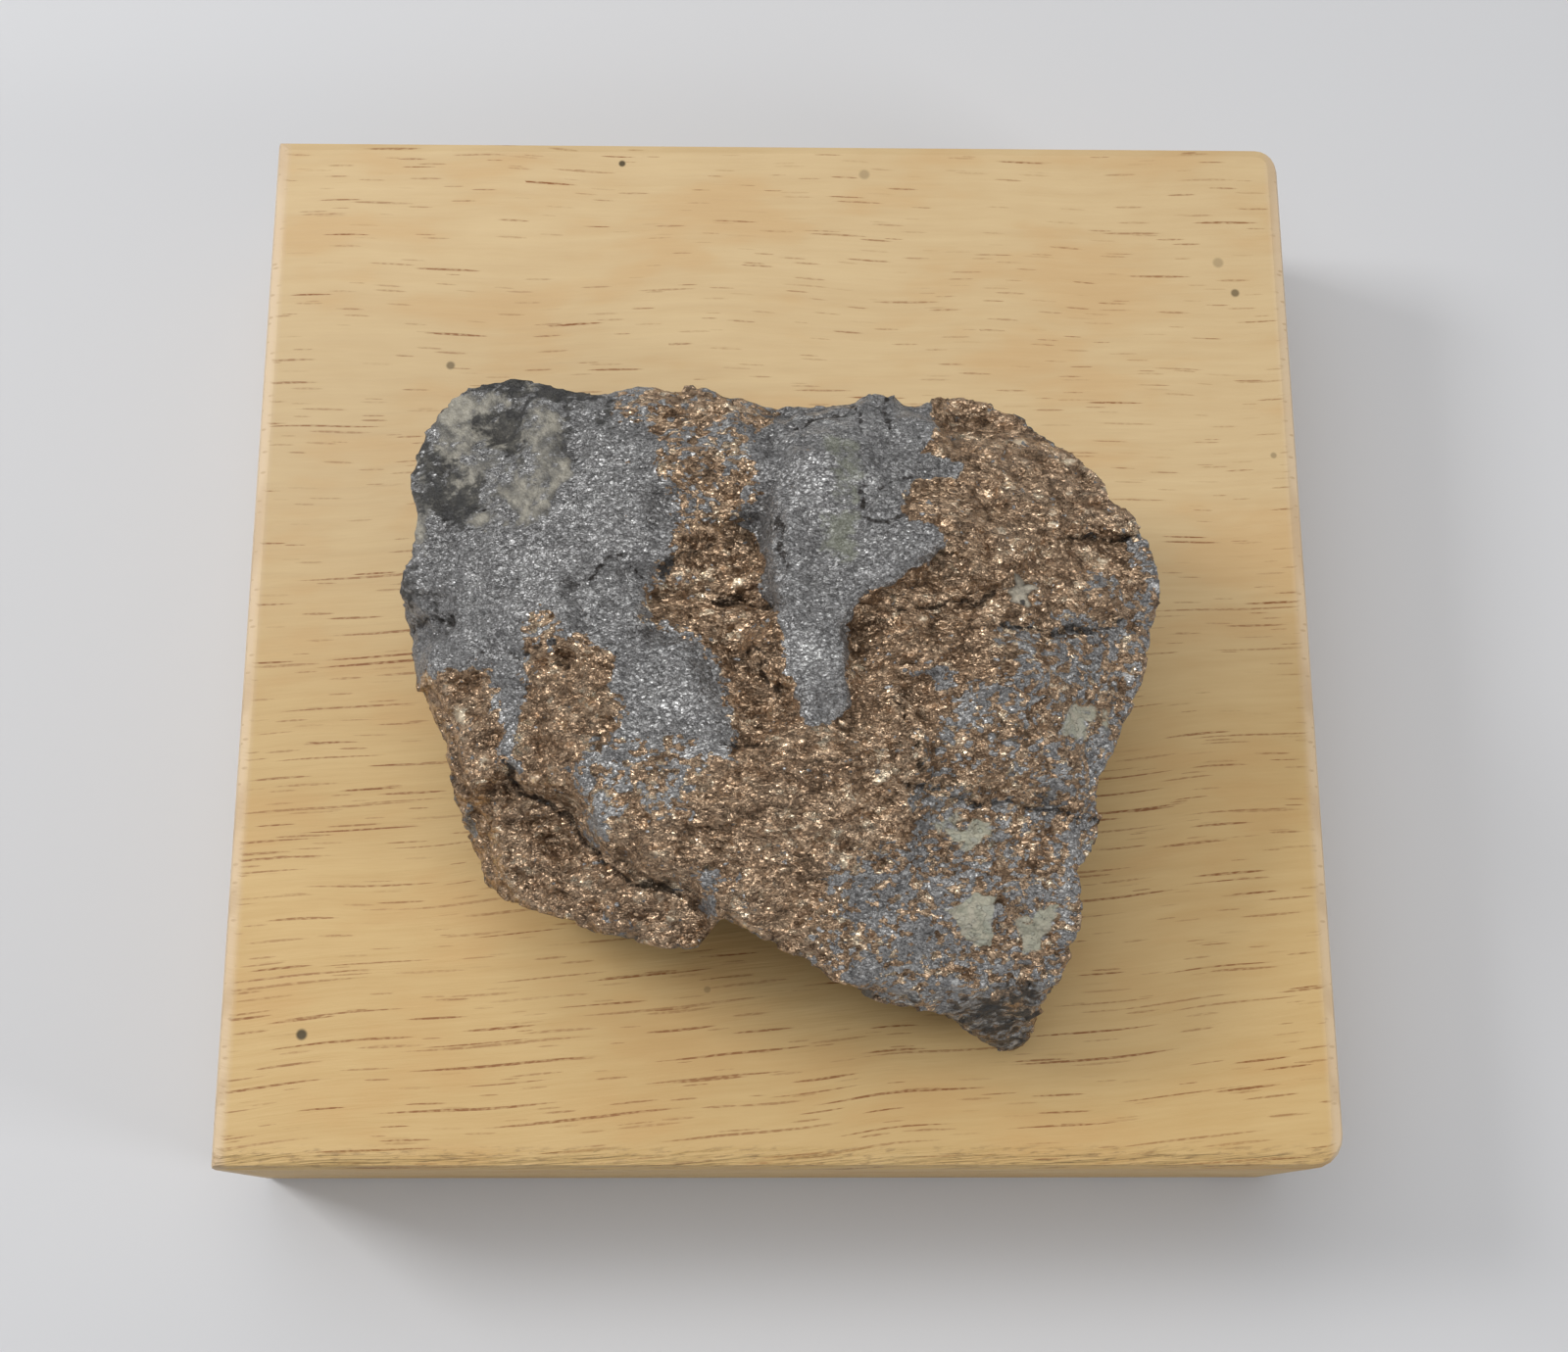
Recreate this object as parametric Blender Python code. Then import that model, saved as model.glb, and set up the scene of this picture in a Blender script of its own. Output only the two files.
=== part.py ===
"""A broken hand specimen of nickeline lying on a square hardwood block.

Two solids: the block, and the specimen that rests on it. All sizes are in
millimetres here and are turned into metres when a mesh is made. The origin is
the middle of the block's underside, +X runs along the wood's grain and +Z is up.
Heights on the specimen are measured from the block's top face.
"""

import math
from typing import NamedTuple

import bmesh
import bpy
import numpy as np
from mathutils import Vector, noise

MM = 0.001

COLLECTION_NAME = "nickeline_on_block"

BLOCK_SIDE = 120.0
BLOCK_THICKNESS = 28.0
BLOCK_TOP_CHAMFER = 1.5
BLOCK_BOTTOM_CHAMFER = 1.0
BLOCK_CHAMFER_STEPS = 2
BLOCK_CORNER_STEPS = 5
# Radius of the worn upright edges, by the signs of their x and y.
BLOCK_WORN_CORNERS = {(1, 1): 2.8, (1, -1): 3.6}
BLOCK_CRISP_CORNERS = ((-1, 1), (-1, -1))
BLOCK_CRISP_CHAMFER = 0.5

# Two heights or places closer than this are the same.
SAME_PLACE = 1e-4

REST_GAP = 0.3
CENTRE_X = -2.0
CENTRE_Y = -13.0
GRID_CUTS = 95
SPECIMEN_TRIANGLES = 8800

# The rim of the broken top face, clockwise from its north-west corner.
RIM = (
    (-37.7, 12.0), (-35.7, 16.0), (-34.4, 18.1), (-31.0, 19.2), (-29.0, 19.0),
    (-26.8, 19.4), (-24.5, 18.1), (-19.3, 17.0), (-14.4, 18.4), (-12.2, 17.8),
    (-10.0, 18.5), (-8.0, 18.4), (-5.7, 16.8), (-2.0, 16.4), (5.0, 16.8),
    (9.8, 17.4), (11.5, 17.3), (14.1, 16.5), (17.5, 18.5), (18.6, 18.4),
    (19.7, 17.6), (21.4, 17.6), (22.9, 16.9), (24.8, 16.5), (25.4, 15.3),
    (27.5, 13.8), (29.0, 12.6), (29.8, 11.3), (32.7, 8.2), (33.0, 6.6),
    (33.9, 5.6), (35.2, 5.4), (37.1, 1.9), (38.4, -3.4), (38.2, -5.2),
    (37.2, -8.2), (35.9, -14.0), (34.4, -16.4), (32.1, -21.6), (31.2, -22.8),
    (31.4, -24.3), (32.3, -26.0), (32.0, -27.7), (29.3, -31.5), (29.6, -33.6),
    (30.2, -34.9), (29.5, -37.2), (28.2, -41.3), (26.9, -43.8), (25.8, -47.4),
    (24.2, -48.3), (21.4, -47.6), (19.0, -46.4), (16.8, -45.3), (9.6, -44.3),
    (4.3, -42.8), (1.7, -40.7), (-4.0, -38.0), (-6.4, -36.6), (-7.0, -37.6),
    (-9.0, -39.7), (-14.5, -38.6), (-22.9, -36.0), (-28.0, -33.8), (-31.7, -31.2),
    (-31.2, -29.8), (-33.8, -23.6), (-34.0, -20.3), (-35.4, -16.1), (-37.6, -12.6),
    (-38.5, -7.3), (-39.2, -4.2), (-39.2, -2.0), (-37.8, -0.7), (-37.4, 5.2),
    (-38.6, 6.8),
)

# Reach of the foot from the centre, by compass azimuth in degrees from +X.
FOOT_REACH = (
    (0, 29.5), (25, 31.5), (45, 29.5), (70, 22.5), (92, 20.0), (115, 25.5),
    (138, 34.5), (158, 31.5), (180, 28.5), (200, 27.5), (222, 25.5), (243, 20.5),
    (262, 16.0), (280, 18.5), (294, 26.5), (306, 39.0), (312, 39.5), (322, 32.5),
    (338, 28.0), (350, 27.5),
)


class Facet(NamedTuple):
    """A flat break of the top face: its height at a point, and its slopes."""

    x: float
    y: float
    height: float
    slope_x: float
    slope_y: float


# The top face is the lowest of these flat breaks at every point.
TOP_FACETS = (
    Facet(0.0, -10.0, 29.5, 0.00, 0.02),
    Facet(-33.0, -8.0, 25.4, 0.42, 0.00),
    Facet(-31.0, 11.0, 24.6, 0.24, -0.20),
    Facet(0.0, 13.0, 26.8, 0.00, -0.60),
    Facet(24.0, 10.0, 25.2, -0.22, -0.30),
    Facet(34.0, -8.0, 24.6, -0.40, 0.00),
    Facet(18.0, -38.0, 20.5, -0.25, 0.42),
    Facet(30.0, -27.0, 21.5, -0.60, 0.25),
    Facet(0.0, -38.0, 24.0, 0.00, 0.50),
    Facet(20.0, -44.3, 14.5, -0.35, 2.60),
    Facet(-30.0, -28.0, 20.0, 0.50, 0.30),
    Facet(-30.5, -26.0, 19.5, 2.20, 0.90),
)


class Ledge(NamedTuple):
    """A step along a path: the ground falls on the path's right-hand side."""

    path: tuple
    drop: float
    width: float
    reach: float


LEDGES = (
    # The low terrace at the south-west.
    Ledge(((-28.0, -20.5), (-26.0, -22.8), (-24.0, -24.2), (-20.5, -26.2), (-19.0, -28.5),
           (-17.0, -31.0), (-14.0, -32.6), (-10.0, -33.6), (-7.0, -35.3), (-6.0, -39.5)),
          3.4, 1.3, 60.0),
    # The long shelf across the right of the face, and the crack that runs into it.
    Ledge(((12.0, -23.5), (18.3, -24.1), (22.4, -24.3), (26.5, -24.6), (33.0, -25.0)),
          1.9, 2.2, 12.0),
    Ledge(((14.5, -25.0), (13.8, -22.5), (13.0, -20.0), (12.5, -17.5), (10.5, -15.0)),
          1.4, 1.1, 10.0),
    # Two shelves in the coarse ore at the right.
    Ledge(((13.0, -6.5), (18.0, -6.0), (21.0, -4.8), (23.5, -3.0), (26.0, 0.7),
           (28.5, 2.0), (36.5, 3.0)), 1.2, 1.2, 8.0),
    Ledge(((21.0, -7.6), (26.0, -7.8), (30.0, -7.6), (34.0, -5.5)), 0.9, 1.0, 6.0),
    # The grey plate and the hollow of coarse ore beside it.
    Ledge(((-23.0, -4.6), (-20.0, -3.8), (-18.0, -2.4), (-15.5, -2.2), (-14.0, -3.5),
           (-12.0, -2.7), (-10.5, -0.8), (-7.0, 0.8)), 1.2, 1.2, 9.0),
    Ledge(((-14.5, -11.0), (-14.2, -7.0), (-13.6, -3.0)), 1.1, 1.2, 8.0),
    Ledge(((-15.0, 4.8), (-12.5, 5.3), (-11.0, 4.4), (-8.0, 4.4), (-4.0, 4.2), (-1.0, 4.8)),
          1.0, 1.0, 7.0),
    # Both sides of the smooth grey tongue.
    Ledge(((-2.2, 4.0), (-1.6, -2.8), (-1.2, -8.0), (-3.5, -11.3), (-1.5, -13.8),
           (0.3, -15.8), (2.0, -18.8)), 1.9, 1.2, 7.0),
    Ledge(((4.0, -19.5), (6.2, -16.5), (5.8, -12.0), (6.0, -8.5), (9.0, -5.5),
           (13.0, -3.5), (16.5, -0.5)), 1.5, 1.2, 7.0),
    # The recess behind the rim at the north, and the dark faces of the north-east.
    Ledge(((9.0, 16.4), (5.0, 15.8), (2.5, 15.0), (0.0, 14.2), (-4.0, 14.0)), 1.7, 0.9, 6.0),
    Ledge(((16.6, 10.0), (15.9, 13.0), (13.3, 15.2), (10.5, 16.6)), 1.8, 2.2, 9.0),
    Ledge(((29.0, 10.5), (24.5, 13.2), (20.0, 13.6), (15.5, 13.8)), 1.3, 1.5, 6.0),
)


class Crevice(NamedTuple):
    """A narrow groove along a path."""

    path: tuple
    depth: float
    width: float


CREVICES = (
    Crevice(((-8.0, -5.6), (-5.5, -6.0), (-4.0, -5.8), (-1.5, -6.6)), 1.3, 1.0),
    Crevice(((-26.0, -30.0), (-23.0, -29.0), (-21.5, -30.5)), 1.4, 1.2),
    Crevice(((-29.5, -30.8), (-27.0, -31.6), (-24.8, -32.6)), 1.1, 1.1),
    Crevice(((-6.5, -20.8), (-4.0, -20.6), (-1.0, -21.2)), 0.8, 1.0),
    Crevice(((-38.0, -7.5), (-35.0, -7.8), (-32.0, -7.6)), 1.3, 1.4),
    Crevice(((21.0, -43.5), (23.0, -43.0), (24.0, -40.5)), 1.2, 1.2),
)


class Hollow(NamedTuple):
    """A rounded dip, or a rise where the depth is negative."""

    x: float
    y: float
    radius_x: float
    radius_y: float
    depth: float


HOLLOWS = (
    Hollow(-7.0, -4.5, 5.0, 4.5, 0.8),
    Hollow(0.5, -10.0, 2.5, 8.0, -0.8),
    Hollow(3.0, -14.0, 3.0, 4.0, -0.6),
    Hollow(8.2, -8.8, 2.4, 1.6, 1.3),
    Hollow(7.6, -11.6, 2.0, 1.5, 0.8),
    Hollow(13.5, -10.5, 3.5, 2.5, -0.9),
    Hollow(-21.6, -12.2, 1.3, 1.0, 1.5),
    Hollow(-17.0, -7.0, 5.0, 4.0, -0.7),
    Hollow(-13.0, 9.0, 1.8, 5.5, 0.9),
    Hollow(-1.2, 9.0, 1.8, 6.5, 1.1),
    Hollow(5.0, 6.0, 5.5, 6.5, -0.8),
    Hollow(-24.0, -26.8, 2.2, 1.6, 1.4),
    Hollow(-22.0, -29.0, 1.5, 1.5, 1.2),
    Hollow(-36.5, -7.4, 2.6, 2.0, 1.3),
    Hollow(-29.5, 13.5, 2.8, 2.2, 1.0),
    Hollow(-34.0, 6.0, 2.6, 3.4, 1.1),
    Hollow(-25.0, 12.0, 2.4, 5.0, -0.7),
    Hollow(23.4, -4.6, 0.9, 0.8, 0.9),
    Hollow(-15.0, -36.0, 6.0, 2.4, -0.8),
)


class Fracture(NamedTuple):
    """Broken ground: tilted flats of one size, how far they stand out and how much they dish."""

    size: float
    relief: float
    dish: float
    shift: float


TOP_FRACTURES = (Fracture(9.0, 1.5, 0.55, 3.0), Fracture(4.2, 1.0, 0.55, 17.0))
SIDE_FRACTURES = (Fracture(13.0, 7.0, 0.55, 41.0), Fracture(6.0, 2.6, 0.55, 59.0))
FOOT_FRACTURES = (Fracture(11.0, 2.4, 0.55, 83.0),)
# Fixes the tilts of the flats, so that every build gives the same stone.
TILT_SEED = 8
# How far apart the tilts of neighbouring flats are drawn.
TILT_SPREAD = 7.31
# Length over which a ledge or crevice dies out at either end.
PATH_END_FADE = 2.0
# The broken sides: how far they are set back, how far out their ridges may stand
# from there, and how they lean in to the foot.
SIDE_INSET = 2.3
SIDE_STAND_OUT = 2.6
SIDE_SHOULDER = 0.16
SIDE_FOOT_FADE = 0.14
SIDE_EASING_PASSES = 3
SIDE_EASING = 0.5
SIDE_UNDERCUT_POWER = 1.35
FOOT_EDGE_CHIP = 0.05
# Size and shift of the bends that make straight breaks ragged.
WANDERS = ((5.0, 0.8), (1.9, 0.5))


def remove_scene_objects():
    """Empty the scene of whatever it holds."""
    for item in list(bpy.data.objects):
        bpy.data.objects.remove(item, do_unlink=True)


def new_collection(name):
    """Make the collection that holds the model."""
    collection = bpy.data.collections.new(name)
    bpy.context.scene.collection.children.link(collection)
    return collection


def plain_material(name, colour, roughness, metallic):
    """Make a Principled material of one colour."""
    material = bpy.data.materials.new(name)
    material.use_nodes = True
    shader = material.node_tree.nodes["Principled BSDF"]
    shader.inputs["Base Color"].default_value = (*colour, 1.0)
    shader.inputs["Roughness"].default_value = roughness
    shader.inputs["Metallic"].default_value = metallic
    material.diffuse_color = (*colour, 1.0)
    return material


def ore_material():
    """Give the bronze and steel grey of the broken ore."""
    return plain_material("nickeline_ore", (0.21, 0.165, 0.135), 0.42, 0.8)


def wood_material():
    """Give the pale straw of the sanded hardwood."""
    return plain_material("pale_hardwood", (0.60, 0.45, 0.26), 0.6, 0.0)


def link_solid(bm, name, material, collection):
    """Turn a bmesh in millimetres into a named object in metres."""
    bmesh.ops.scale(bm, verts=bm.verts, vec=Vector((MM, MM, MM)))
    mesh = bpy.data.meshes.new(name)
    bm.to_mesh(mesh)
    bm.free()
    solid = bpy.data.objects.new(name, mesh)
    solid.data.materials.append(material)
    collection.objects.link(solid)
    return solid


def upright_edge(bm, sign_x, sign_y):
    """Find the block's upright edge in one corner."""
    for edge in bm.edges:
        middle = (edge.verts[0].co + edge.verts[1].co) / 2
        upright = abs(edge.verts[0].co.z - edge.verts[1].co.z) > BLOCK_THICKNESS / 2
        if upright and middle.x * sign_x > 0 and middle.y * sign_y > 0:
            return edge
    return None


def level_edges(bm, height):
    """Find the edges that lie at one height, around the block."""
    return [edge for edge in bm.edges
            if all(abs(vert.co.z - height) < SAME_PLACE for vert in edge.verts)]


def build_block(collection):
    """Model the block: a square slab with worn corners and eased edges."""
    bm = bmesh.new()
    bmesh.ops.create_cube(bm, size=1.0)
    bmesh.ops.scale(bm, verts=bm.verts, vec=Vector((BLOCK_SIDE, BLOCK_SIDE, BLOCK_THICKNESS)))
    bmesh.ops.translate(bm, verts=bm.verts, vec=Vector((0, 0, BLOCK_THICKNESS / 2)))
    for (sign_x, sign_y), radius in BLOCK_WORN_CORNERS.items():
        bmesh.ops.bevel(bm, geom=[upright_edge(bm, sign_x, sign_y)], offset=radius,
                        segments=BLOCK_CORNER_STEPS, profile=0.5, affect="EDGES")
    for height, width in ((BLOCK_THICKNESS, BLOCK_TOP_CHAMFER), (0.0, BLOCK_BOTTOM_CHAMFER)):
        bmesh.ops.bevel(bm, geom=level_edges(bm, height), offset=width,
                        segments=BLOCK_CHAMFER_STEPS, profile=0.5, affect="EDGES")
    for sign_x, sign_y in BLOCK_CRISP_CORNERS:
        bmesh.ops.bevel(bm, geom=[upright_edge(bm, sign_x, sign_y)], offset=BLOCK_CRISP_CHAMFER,
                        segments=1, profile=0.5, affect="EDGES")
    return link_solid(bm, "display_block", wood_material(), collection)


def smooth_step(value):
    """Rise from 0 to 1 with level ends."""
    held = np.clip(value, 0.0, 1.0)
    return held * held * (3.0 - 2.0 * held)


def path_distance(path, x, y):
    """Measure signed distance to a path, positive on its right, and end fade."""
    points = np.array(path)
    nearest = np.full(x.shape, np.inf)
    side = np.zeros(x.shape)
    travelled = np.zeros(x.shape)
    start_length = 0.0
    for start, end in zip(points[:-1], points[1:]):
        step = end - start
        length = math.hypot(*step)
        along = ((x - start[0]) * step[0] + (y - start[1]) * step[1]) / length ** 2
        held = np.clip(along, 0.0, 1.0)
        away_x = x - start[0] - held * step[0]
        away_y = y - start[1] - held * step[1]
        distance = np.hypot(away_x, away_y)
        closer = distance < nearest
        turn = step[1] * (x - start[0]) - step[0] * (y - start[1])
        nearest = np.where(closer, distance, nearest)
        side = np.where(closer, np.sign(turn), side)
        travelled = np.where(closer, start_length + held * length, travelled)
        start_length += length
    end_fade = smooth_step(np.minimum(travelled, start_length - travelled) / PATH_END_FADE)
    return nearest * side, end_fade


def ledge_relief(ledge, x, y):
    """Lower the ground on the right of a ledge, and let it recover further out."""
    distance, end_fade = path_distance(ledge.path, x, y)
    fall = smooth_step(distance / ledge.width + 0.5)
    recovery = 1.0 - smooth_step((distance - ledge.width) / ledge.reach)
    return -ledge.drop * fall * recovery * end_fade


def crevice_relief(crevice, x, y):
    """Cut a groove with sloping sides."""
    distance, end_fade = path_distance(crevice.path, x, y)
    return -crevice.depth * smooth_step(1.0 - np.abs(distance) / crevice.width) * end_fade


def hollow_relief(hollow, x, y):
    """Press a rounded dip."""
    reach = ((x - hollow.x) / hollow.radius_x) ** 2 + ((y - hollow.y) / hollow.radius_y) ** 2
    return -hollow.depth * np.exp(-reach)


def broken_ground(points, fracture):
    """Return the relief of tilted flats that meet in ridges, each about one size across."""
    relief = np.empty(len(points))
    shift = Vector((fracture.shift, -fracture.shift, 0.5 * fracture.shift))
    for index, point in enumerate(points):
        place = Vector(point) / fracture.size + shift
        lowest = math.inf
        for cell in noise.voronoi(place)[1]:
            away = place - cell
            tilt = noise.noise_vector(cell * TILT_SPREAD)
            lowest = min(lowest, away.dot(tilt) + fracture.dish * away.length_squared)
        relief[index] = lowest
    return relief * fracture.relief


def wander(x, y):
    """Shift plan positions a little, so that straight breaks become ragged."""
    moved_x = np.empty(x.shape)
    moved_y = np.empty(y.shape)
    for index, (at_x, at_y) in enumerate(zip(x, y)):
        shift = Vector((0.0, 0.0, 0.0))
        for size, amount in WANDERS:
            shift += amount * noise.noise_vector(Vector((at_x / size, at_y / size, size)))
        moved_x[index] = at_x + shift.x
        moved_y[index] = at_y + shift.y
    return moved_x, moved_y


def top_height(x, y):
    """Give the height of the broken top face over the block."""
    at_x, at_y = wander(x, y)
    height = np.full(x.shape, np.inf)
    for facet in TOP_FACETS:
        flat = facet.height + facet.slope_x * (at_x - facet.x) + facet.slope_y * (at_y - facet.y)
        height = np.minimum(height, flat)
    for ledge in LEDGES:
        height = height + ledge_relief(ledge, at_x, at_y)
    for crevice in CREVICES:
        height = height + crevice_relief(crevice, at_x, at_y)
    for hollow in HOLLOWS:
        height = height + hollow_relief(hollow, at_x, at_y)
    points = np.stack((x, y, np.zeros(x.shape)), axis=1)
    for fracture in TOP_FRACTURES:
        height = height + broken_ground(points, fracture)
    return height


def rim_reach(angle):
    """Give the distance from the centre to the rim in each direction."""
    points = np.array(RIM) - (CENTRE_X, CENTRE_Y)
    angles = np.arctan2(points[:, 1], points[:, 0])
    reaches = np.hypot(points[:, 0], points[:, 1])
    return np.interp(angle, angles[np.argsort(angles)], reaches[np.argsort(angles)],
                     period=2 * math.pi)


def foot_reach(angle):
    """Give the distance from the centre to the edge of the foot."""
    table = np.array(FOOT_REACH)
    return np.interp(angle, np.radians(table[:, 0]), table[:, 1], period=2 * math.pi)


def ring_angles(a, b):
    """Turn a place on a square ring into an angle, evenly spread."""
    quarter = math.pi / 4
    on_x = np.abs(a) >= np.abs(b)
    size = np.maximum(np.maximum(np.abs(a), np.abs(b)), 1e-9)
    east_west = np.where(a > 0, b / size * quarter, math.pi - b / size * quarter)
    north_south = np.where(b > 0, math.pi / 2 - a / size * quarter, a / size * quarter - math.pi / 2)
    return np.where(on_x, east_west, north_south)


def place_around(reach, angle, height):
    """Turn a reach and an angle about the centre, and a height, into points."""
    x = CENTRE_X + reach * np.cos(angle)
    y = CENTRE_Y + reach * np.sin(angle)
    return np.stack((x, y, height), axis=1)


def place_top(ring, angle):
    """Place the points of the top face."""
    reach = ring * rim_reach(angle)
    x = CENTRE_X + reach * np.cos(angle)
    y = CENTRE_Y + reach * np.sin(angle)
    return np.stack((x, y, top_height(x, y)), axis=1)


def place_side(depth, angle):
    """Place the points of the broken sides, which lean in under the rim."""
    rim = rim_reach(angle)
    rim_x = CENTRE_X + rim * np.cos(angle)
    rim_y = CENTRE_Y + rim * np.sin(angle)
    rim_z = top_height(rim_x, rim_y)
    height = rim_z + (REST_GAP - rim_z) * depth
    lean = foot_reach(angle) + SIDE_INSET - rim
    shoulder = smooth_step(depth / SIDE_SHOULDER)
    reach = rim + lean * depth ** SIDE_UNDERCUT_POWER - SIDE_INSET * shoulder
    points = place_around(reach, angle, height)
    chips = sum(broken_ground(points, fracture) for fracture in SIDE_FRACTURES)
    chips = np.minimum(chips, SIDE_STAND_OUT)
    reach = reach + chips * shoulder * smooth_step((1.0 - depth) / SIDE_FOOT_FADE)
    return place_around(reach, angle, height)


def place_foot(ring, angle):
    """Place the points of the underside, flat where it carries the stone."""
    reach = ring * foot_reach(angle)
    x = CENTRE_X + reach * np.cos(angle)
    y = CENTRE_Y + reach * np.sin(angle)
    points = np.stack((x, y, np.zeros(x.shape)), axis=1)
    rise = sum(broken_ground(points, fracture) for fracture in FOOT_FRACTURES)
    height = REST_GAP + np.maximum(rise, 0.0) * smooth_step((1.0 - ring) / FOOT_EDGE_CHIP)
    return np.stack((x, y, height), axis=1)


def shape_specimen(bm):
    """Move the points of a finely cut cube to the top, sides and foot."""
    cube = np.array([vert.co[:] for vert in bm.verts])
    a, b, c = cube[:, 0], cube[:, 1], cube[:, 2]
    angle = ring_angles(a, b)
    ring = np.maximum(np.abs(a), np.abs(b))
    is_top = c > 1.0 - SAME_PLACE
    is_foot = c < -1.0 + SAME_PLACE
    is_side = ~is_top & ~is_foot
    placed = np.empty(cube.shape)
    placed[is_top] = place_top(ring[is_top], angle[is_top])
    placed[is_side] = place_side((1.0 - c[is_side]) / 2.0, angle[is_side])
    placed[is_foot] = place_foot(ring[is_foot], angle[is_foot])
    for vert, point in zip(bm.verts, placed):
        vert.co = Vector(point) + Vector((0.0, 0.0, BLOCK_THICKNESS))
    sides = [vert for vert, on_side in zip(bm.verts, is_side) if on_side]
    for _ in range(SIDE_EASING_PASSES):
        bmesh.ops.smooth_vert(bm, verts=sides, factor=SIDE_EASING, use_axis_x=True,
                              use_axis_y=True, use_axis_z=True)


def build_specimen(collection):
    """Model the specimen: one lump with a broken top face and leaning sides."""
    bm = bmesh.new()
    bmesh.ops.create_cube(bm, size=2.0)
    bmesh.ops.subdivide_edges(bm, edges=bm.edges[:], cuts=GRID_CUTS, use_grid_fill=True)
    shape_specimen(bm)
    bmesh.ops.triangulate(bm, faces=bm.faces[:])
    bmesh.ops.recalc_face_normals(bm, faces=bm.faces[:])
    dense = len(bm.faces)
    specimen = link_solid(bm, "nickeline_specimen", ore_material(), collection)
    thin = specimen.modifiers.new("facets", "DECIMATE")
    thin.decimate_type = "COLLAPSE"
    thin.ratio = SPECIMEN_TRIANGLES / dense
    return specimen


def main():
    """Build the block and the specimen."""
    remove_scene_objects()
    noise.seed_set(TILT_SEED)
    collection = new_collection(COLLECTION_NAME)
    build_block(collection)
    build_specimen(collection)


main()
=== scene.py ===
"""The looks of a broken hand specimen of nickeline on a square hardwood block.

Plan positions are in millimetres in the part's own frame: +X along the grain of
the wood, +Y towards the straight upper rim of the specimen, +Z up. North means
+Y and east means +X. Every pattern is worked out from places alone, so each run
gives the same object.
"""

import itertools
import logging
import math
from dataclasses import dataclass, field
from enum import Enum

import bmesh
import bpy
import numpy as np
from mathutils import Euler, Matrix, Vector


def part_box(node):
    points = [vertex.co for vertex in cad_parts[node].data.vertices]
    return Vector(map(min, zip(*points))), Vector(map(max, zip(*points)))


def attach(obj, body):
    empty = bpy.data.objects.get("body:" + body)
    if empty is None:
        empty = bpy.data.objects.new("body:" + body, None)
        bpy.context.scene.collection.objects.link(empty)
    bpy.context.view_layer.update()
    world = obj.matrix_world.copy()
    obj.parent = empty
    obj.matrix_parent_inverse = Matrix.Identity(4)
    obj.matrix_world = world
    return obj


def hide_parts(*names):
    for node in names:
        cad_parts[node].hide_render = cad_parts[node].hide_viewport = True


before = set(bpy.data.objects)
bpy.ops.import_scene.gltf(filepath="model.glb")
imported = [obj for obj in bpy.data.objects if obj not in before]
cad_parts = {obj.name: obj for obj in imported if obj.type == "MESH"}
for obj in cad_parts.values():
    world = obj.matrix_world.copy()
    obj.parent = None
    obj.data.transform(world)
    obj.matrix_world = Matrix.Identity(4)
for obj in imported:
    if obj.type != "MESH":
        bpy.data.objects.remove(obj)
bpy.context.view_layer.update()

MM = 0.001
LOG = logging.getLogger("nickeline")

Pair = tuple[float, float]
Triple = tuple[float, float, float]
Outline = tuple[Pair, ...]
Colour = Triple
Sockets = bpy.types.bpy_prop_collection

EVEN: Triple = (1.0, 1.0, 1.0)
HALVES: Triple = (0.5, 0.5, 0.5)
TINY = 1e-9

# The mixing of whole numbers that every random pattern is drawn from.
CELL_FACTORS = (73856093, 19349663, 83492791)
SALT_FACTOR = 2654435761
MIXERS = ((33, 0xFF51AFD7ED558CCD), (29, 0xC4CEB9FE1A85EC53))
LAST_SHIFT = 32
DRAWN_BITS = 53

# How a speckle's layers grow weaker, how far one layer spreads, and how steeply
# their sum is stretched until every value is about as common.
LAYER_FALL = 0.7
LAYER_SPREAD = 0.33
SPECKLE_STRETCH = 1.7
SPECKLE_SALT_STEP = 10


class Mark(Enum):
    """The surface marks that the ore's finish reads from the stone's points, some of them for
    painted shade and painted highlights.
    """

    BRONZE = "bronze"
    PALE = "pale"
    DARK = "dark"
    GREEN = "green"
    MOSS = "moss"
    CRACK = "crack"
    HOLLOW = "hollow"
    SIDE = "side"
    GLINT = "fresh"


class Salt(Enum):
    """Keeps the random patterns of different features apart."""

    COARSE = 11
    MIDDLE = 23
    FINE = 37
    BEND = 41
    RAGGED = 53
    CRUST = 67
    TONE = 79
    SPECKLE = 97
    WRINKLE = 113


def hashed(cells: np.ndarray, salt: int) -> np.ndarray:
    """Draw three numbers between 0 and 1 for each whole-number cell.

    Args:
        cells: Whole numbers, one row of three for each cell.
        salt: Sets one pattern apart from another.

    Returns:
        One row of three numbers for each cell.
    """
    whole = cells.astype(np.int64).astype(np.uint64)
    mixed = np.full(len(cells), salt * SALT_FACTOR, dtype=np.uint64)
    for axis, factor in enumerate(CELL_FACTORS):
        mixed = mixed ^ (whole[:, axis] * np.uint64(factor))
    columns = []
    for _ in range(3):
        for shift, factor in MIXERS:
            mixed = (mixed ^ (mixed >> np.uint64(shift))) * np.uint64(factor)
        mixed = mixed ^ (mixed >> np.uint64(LAST_SHIFT))
        drawn = (mixed >> np.uint64(64 - DRAWN_BITS)).astype(float)
        columns.append(drawn / float(2**DRAWN_BITS))
    return np.stack(columns, axis=1)


def smooth_step(value: np.ndarray) -> np.ndarray:
    """Rise from 0 to 1 with level ends."""
    held = np.clip(value, 0.0, 1.0)
    return held * held * (3.0 - 2.0 * held)


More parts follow.
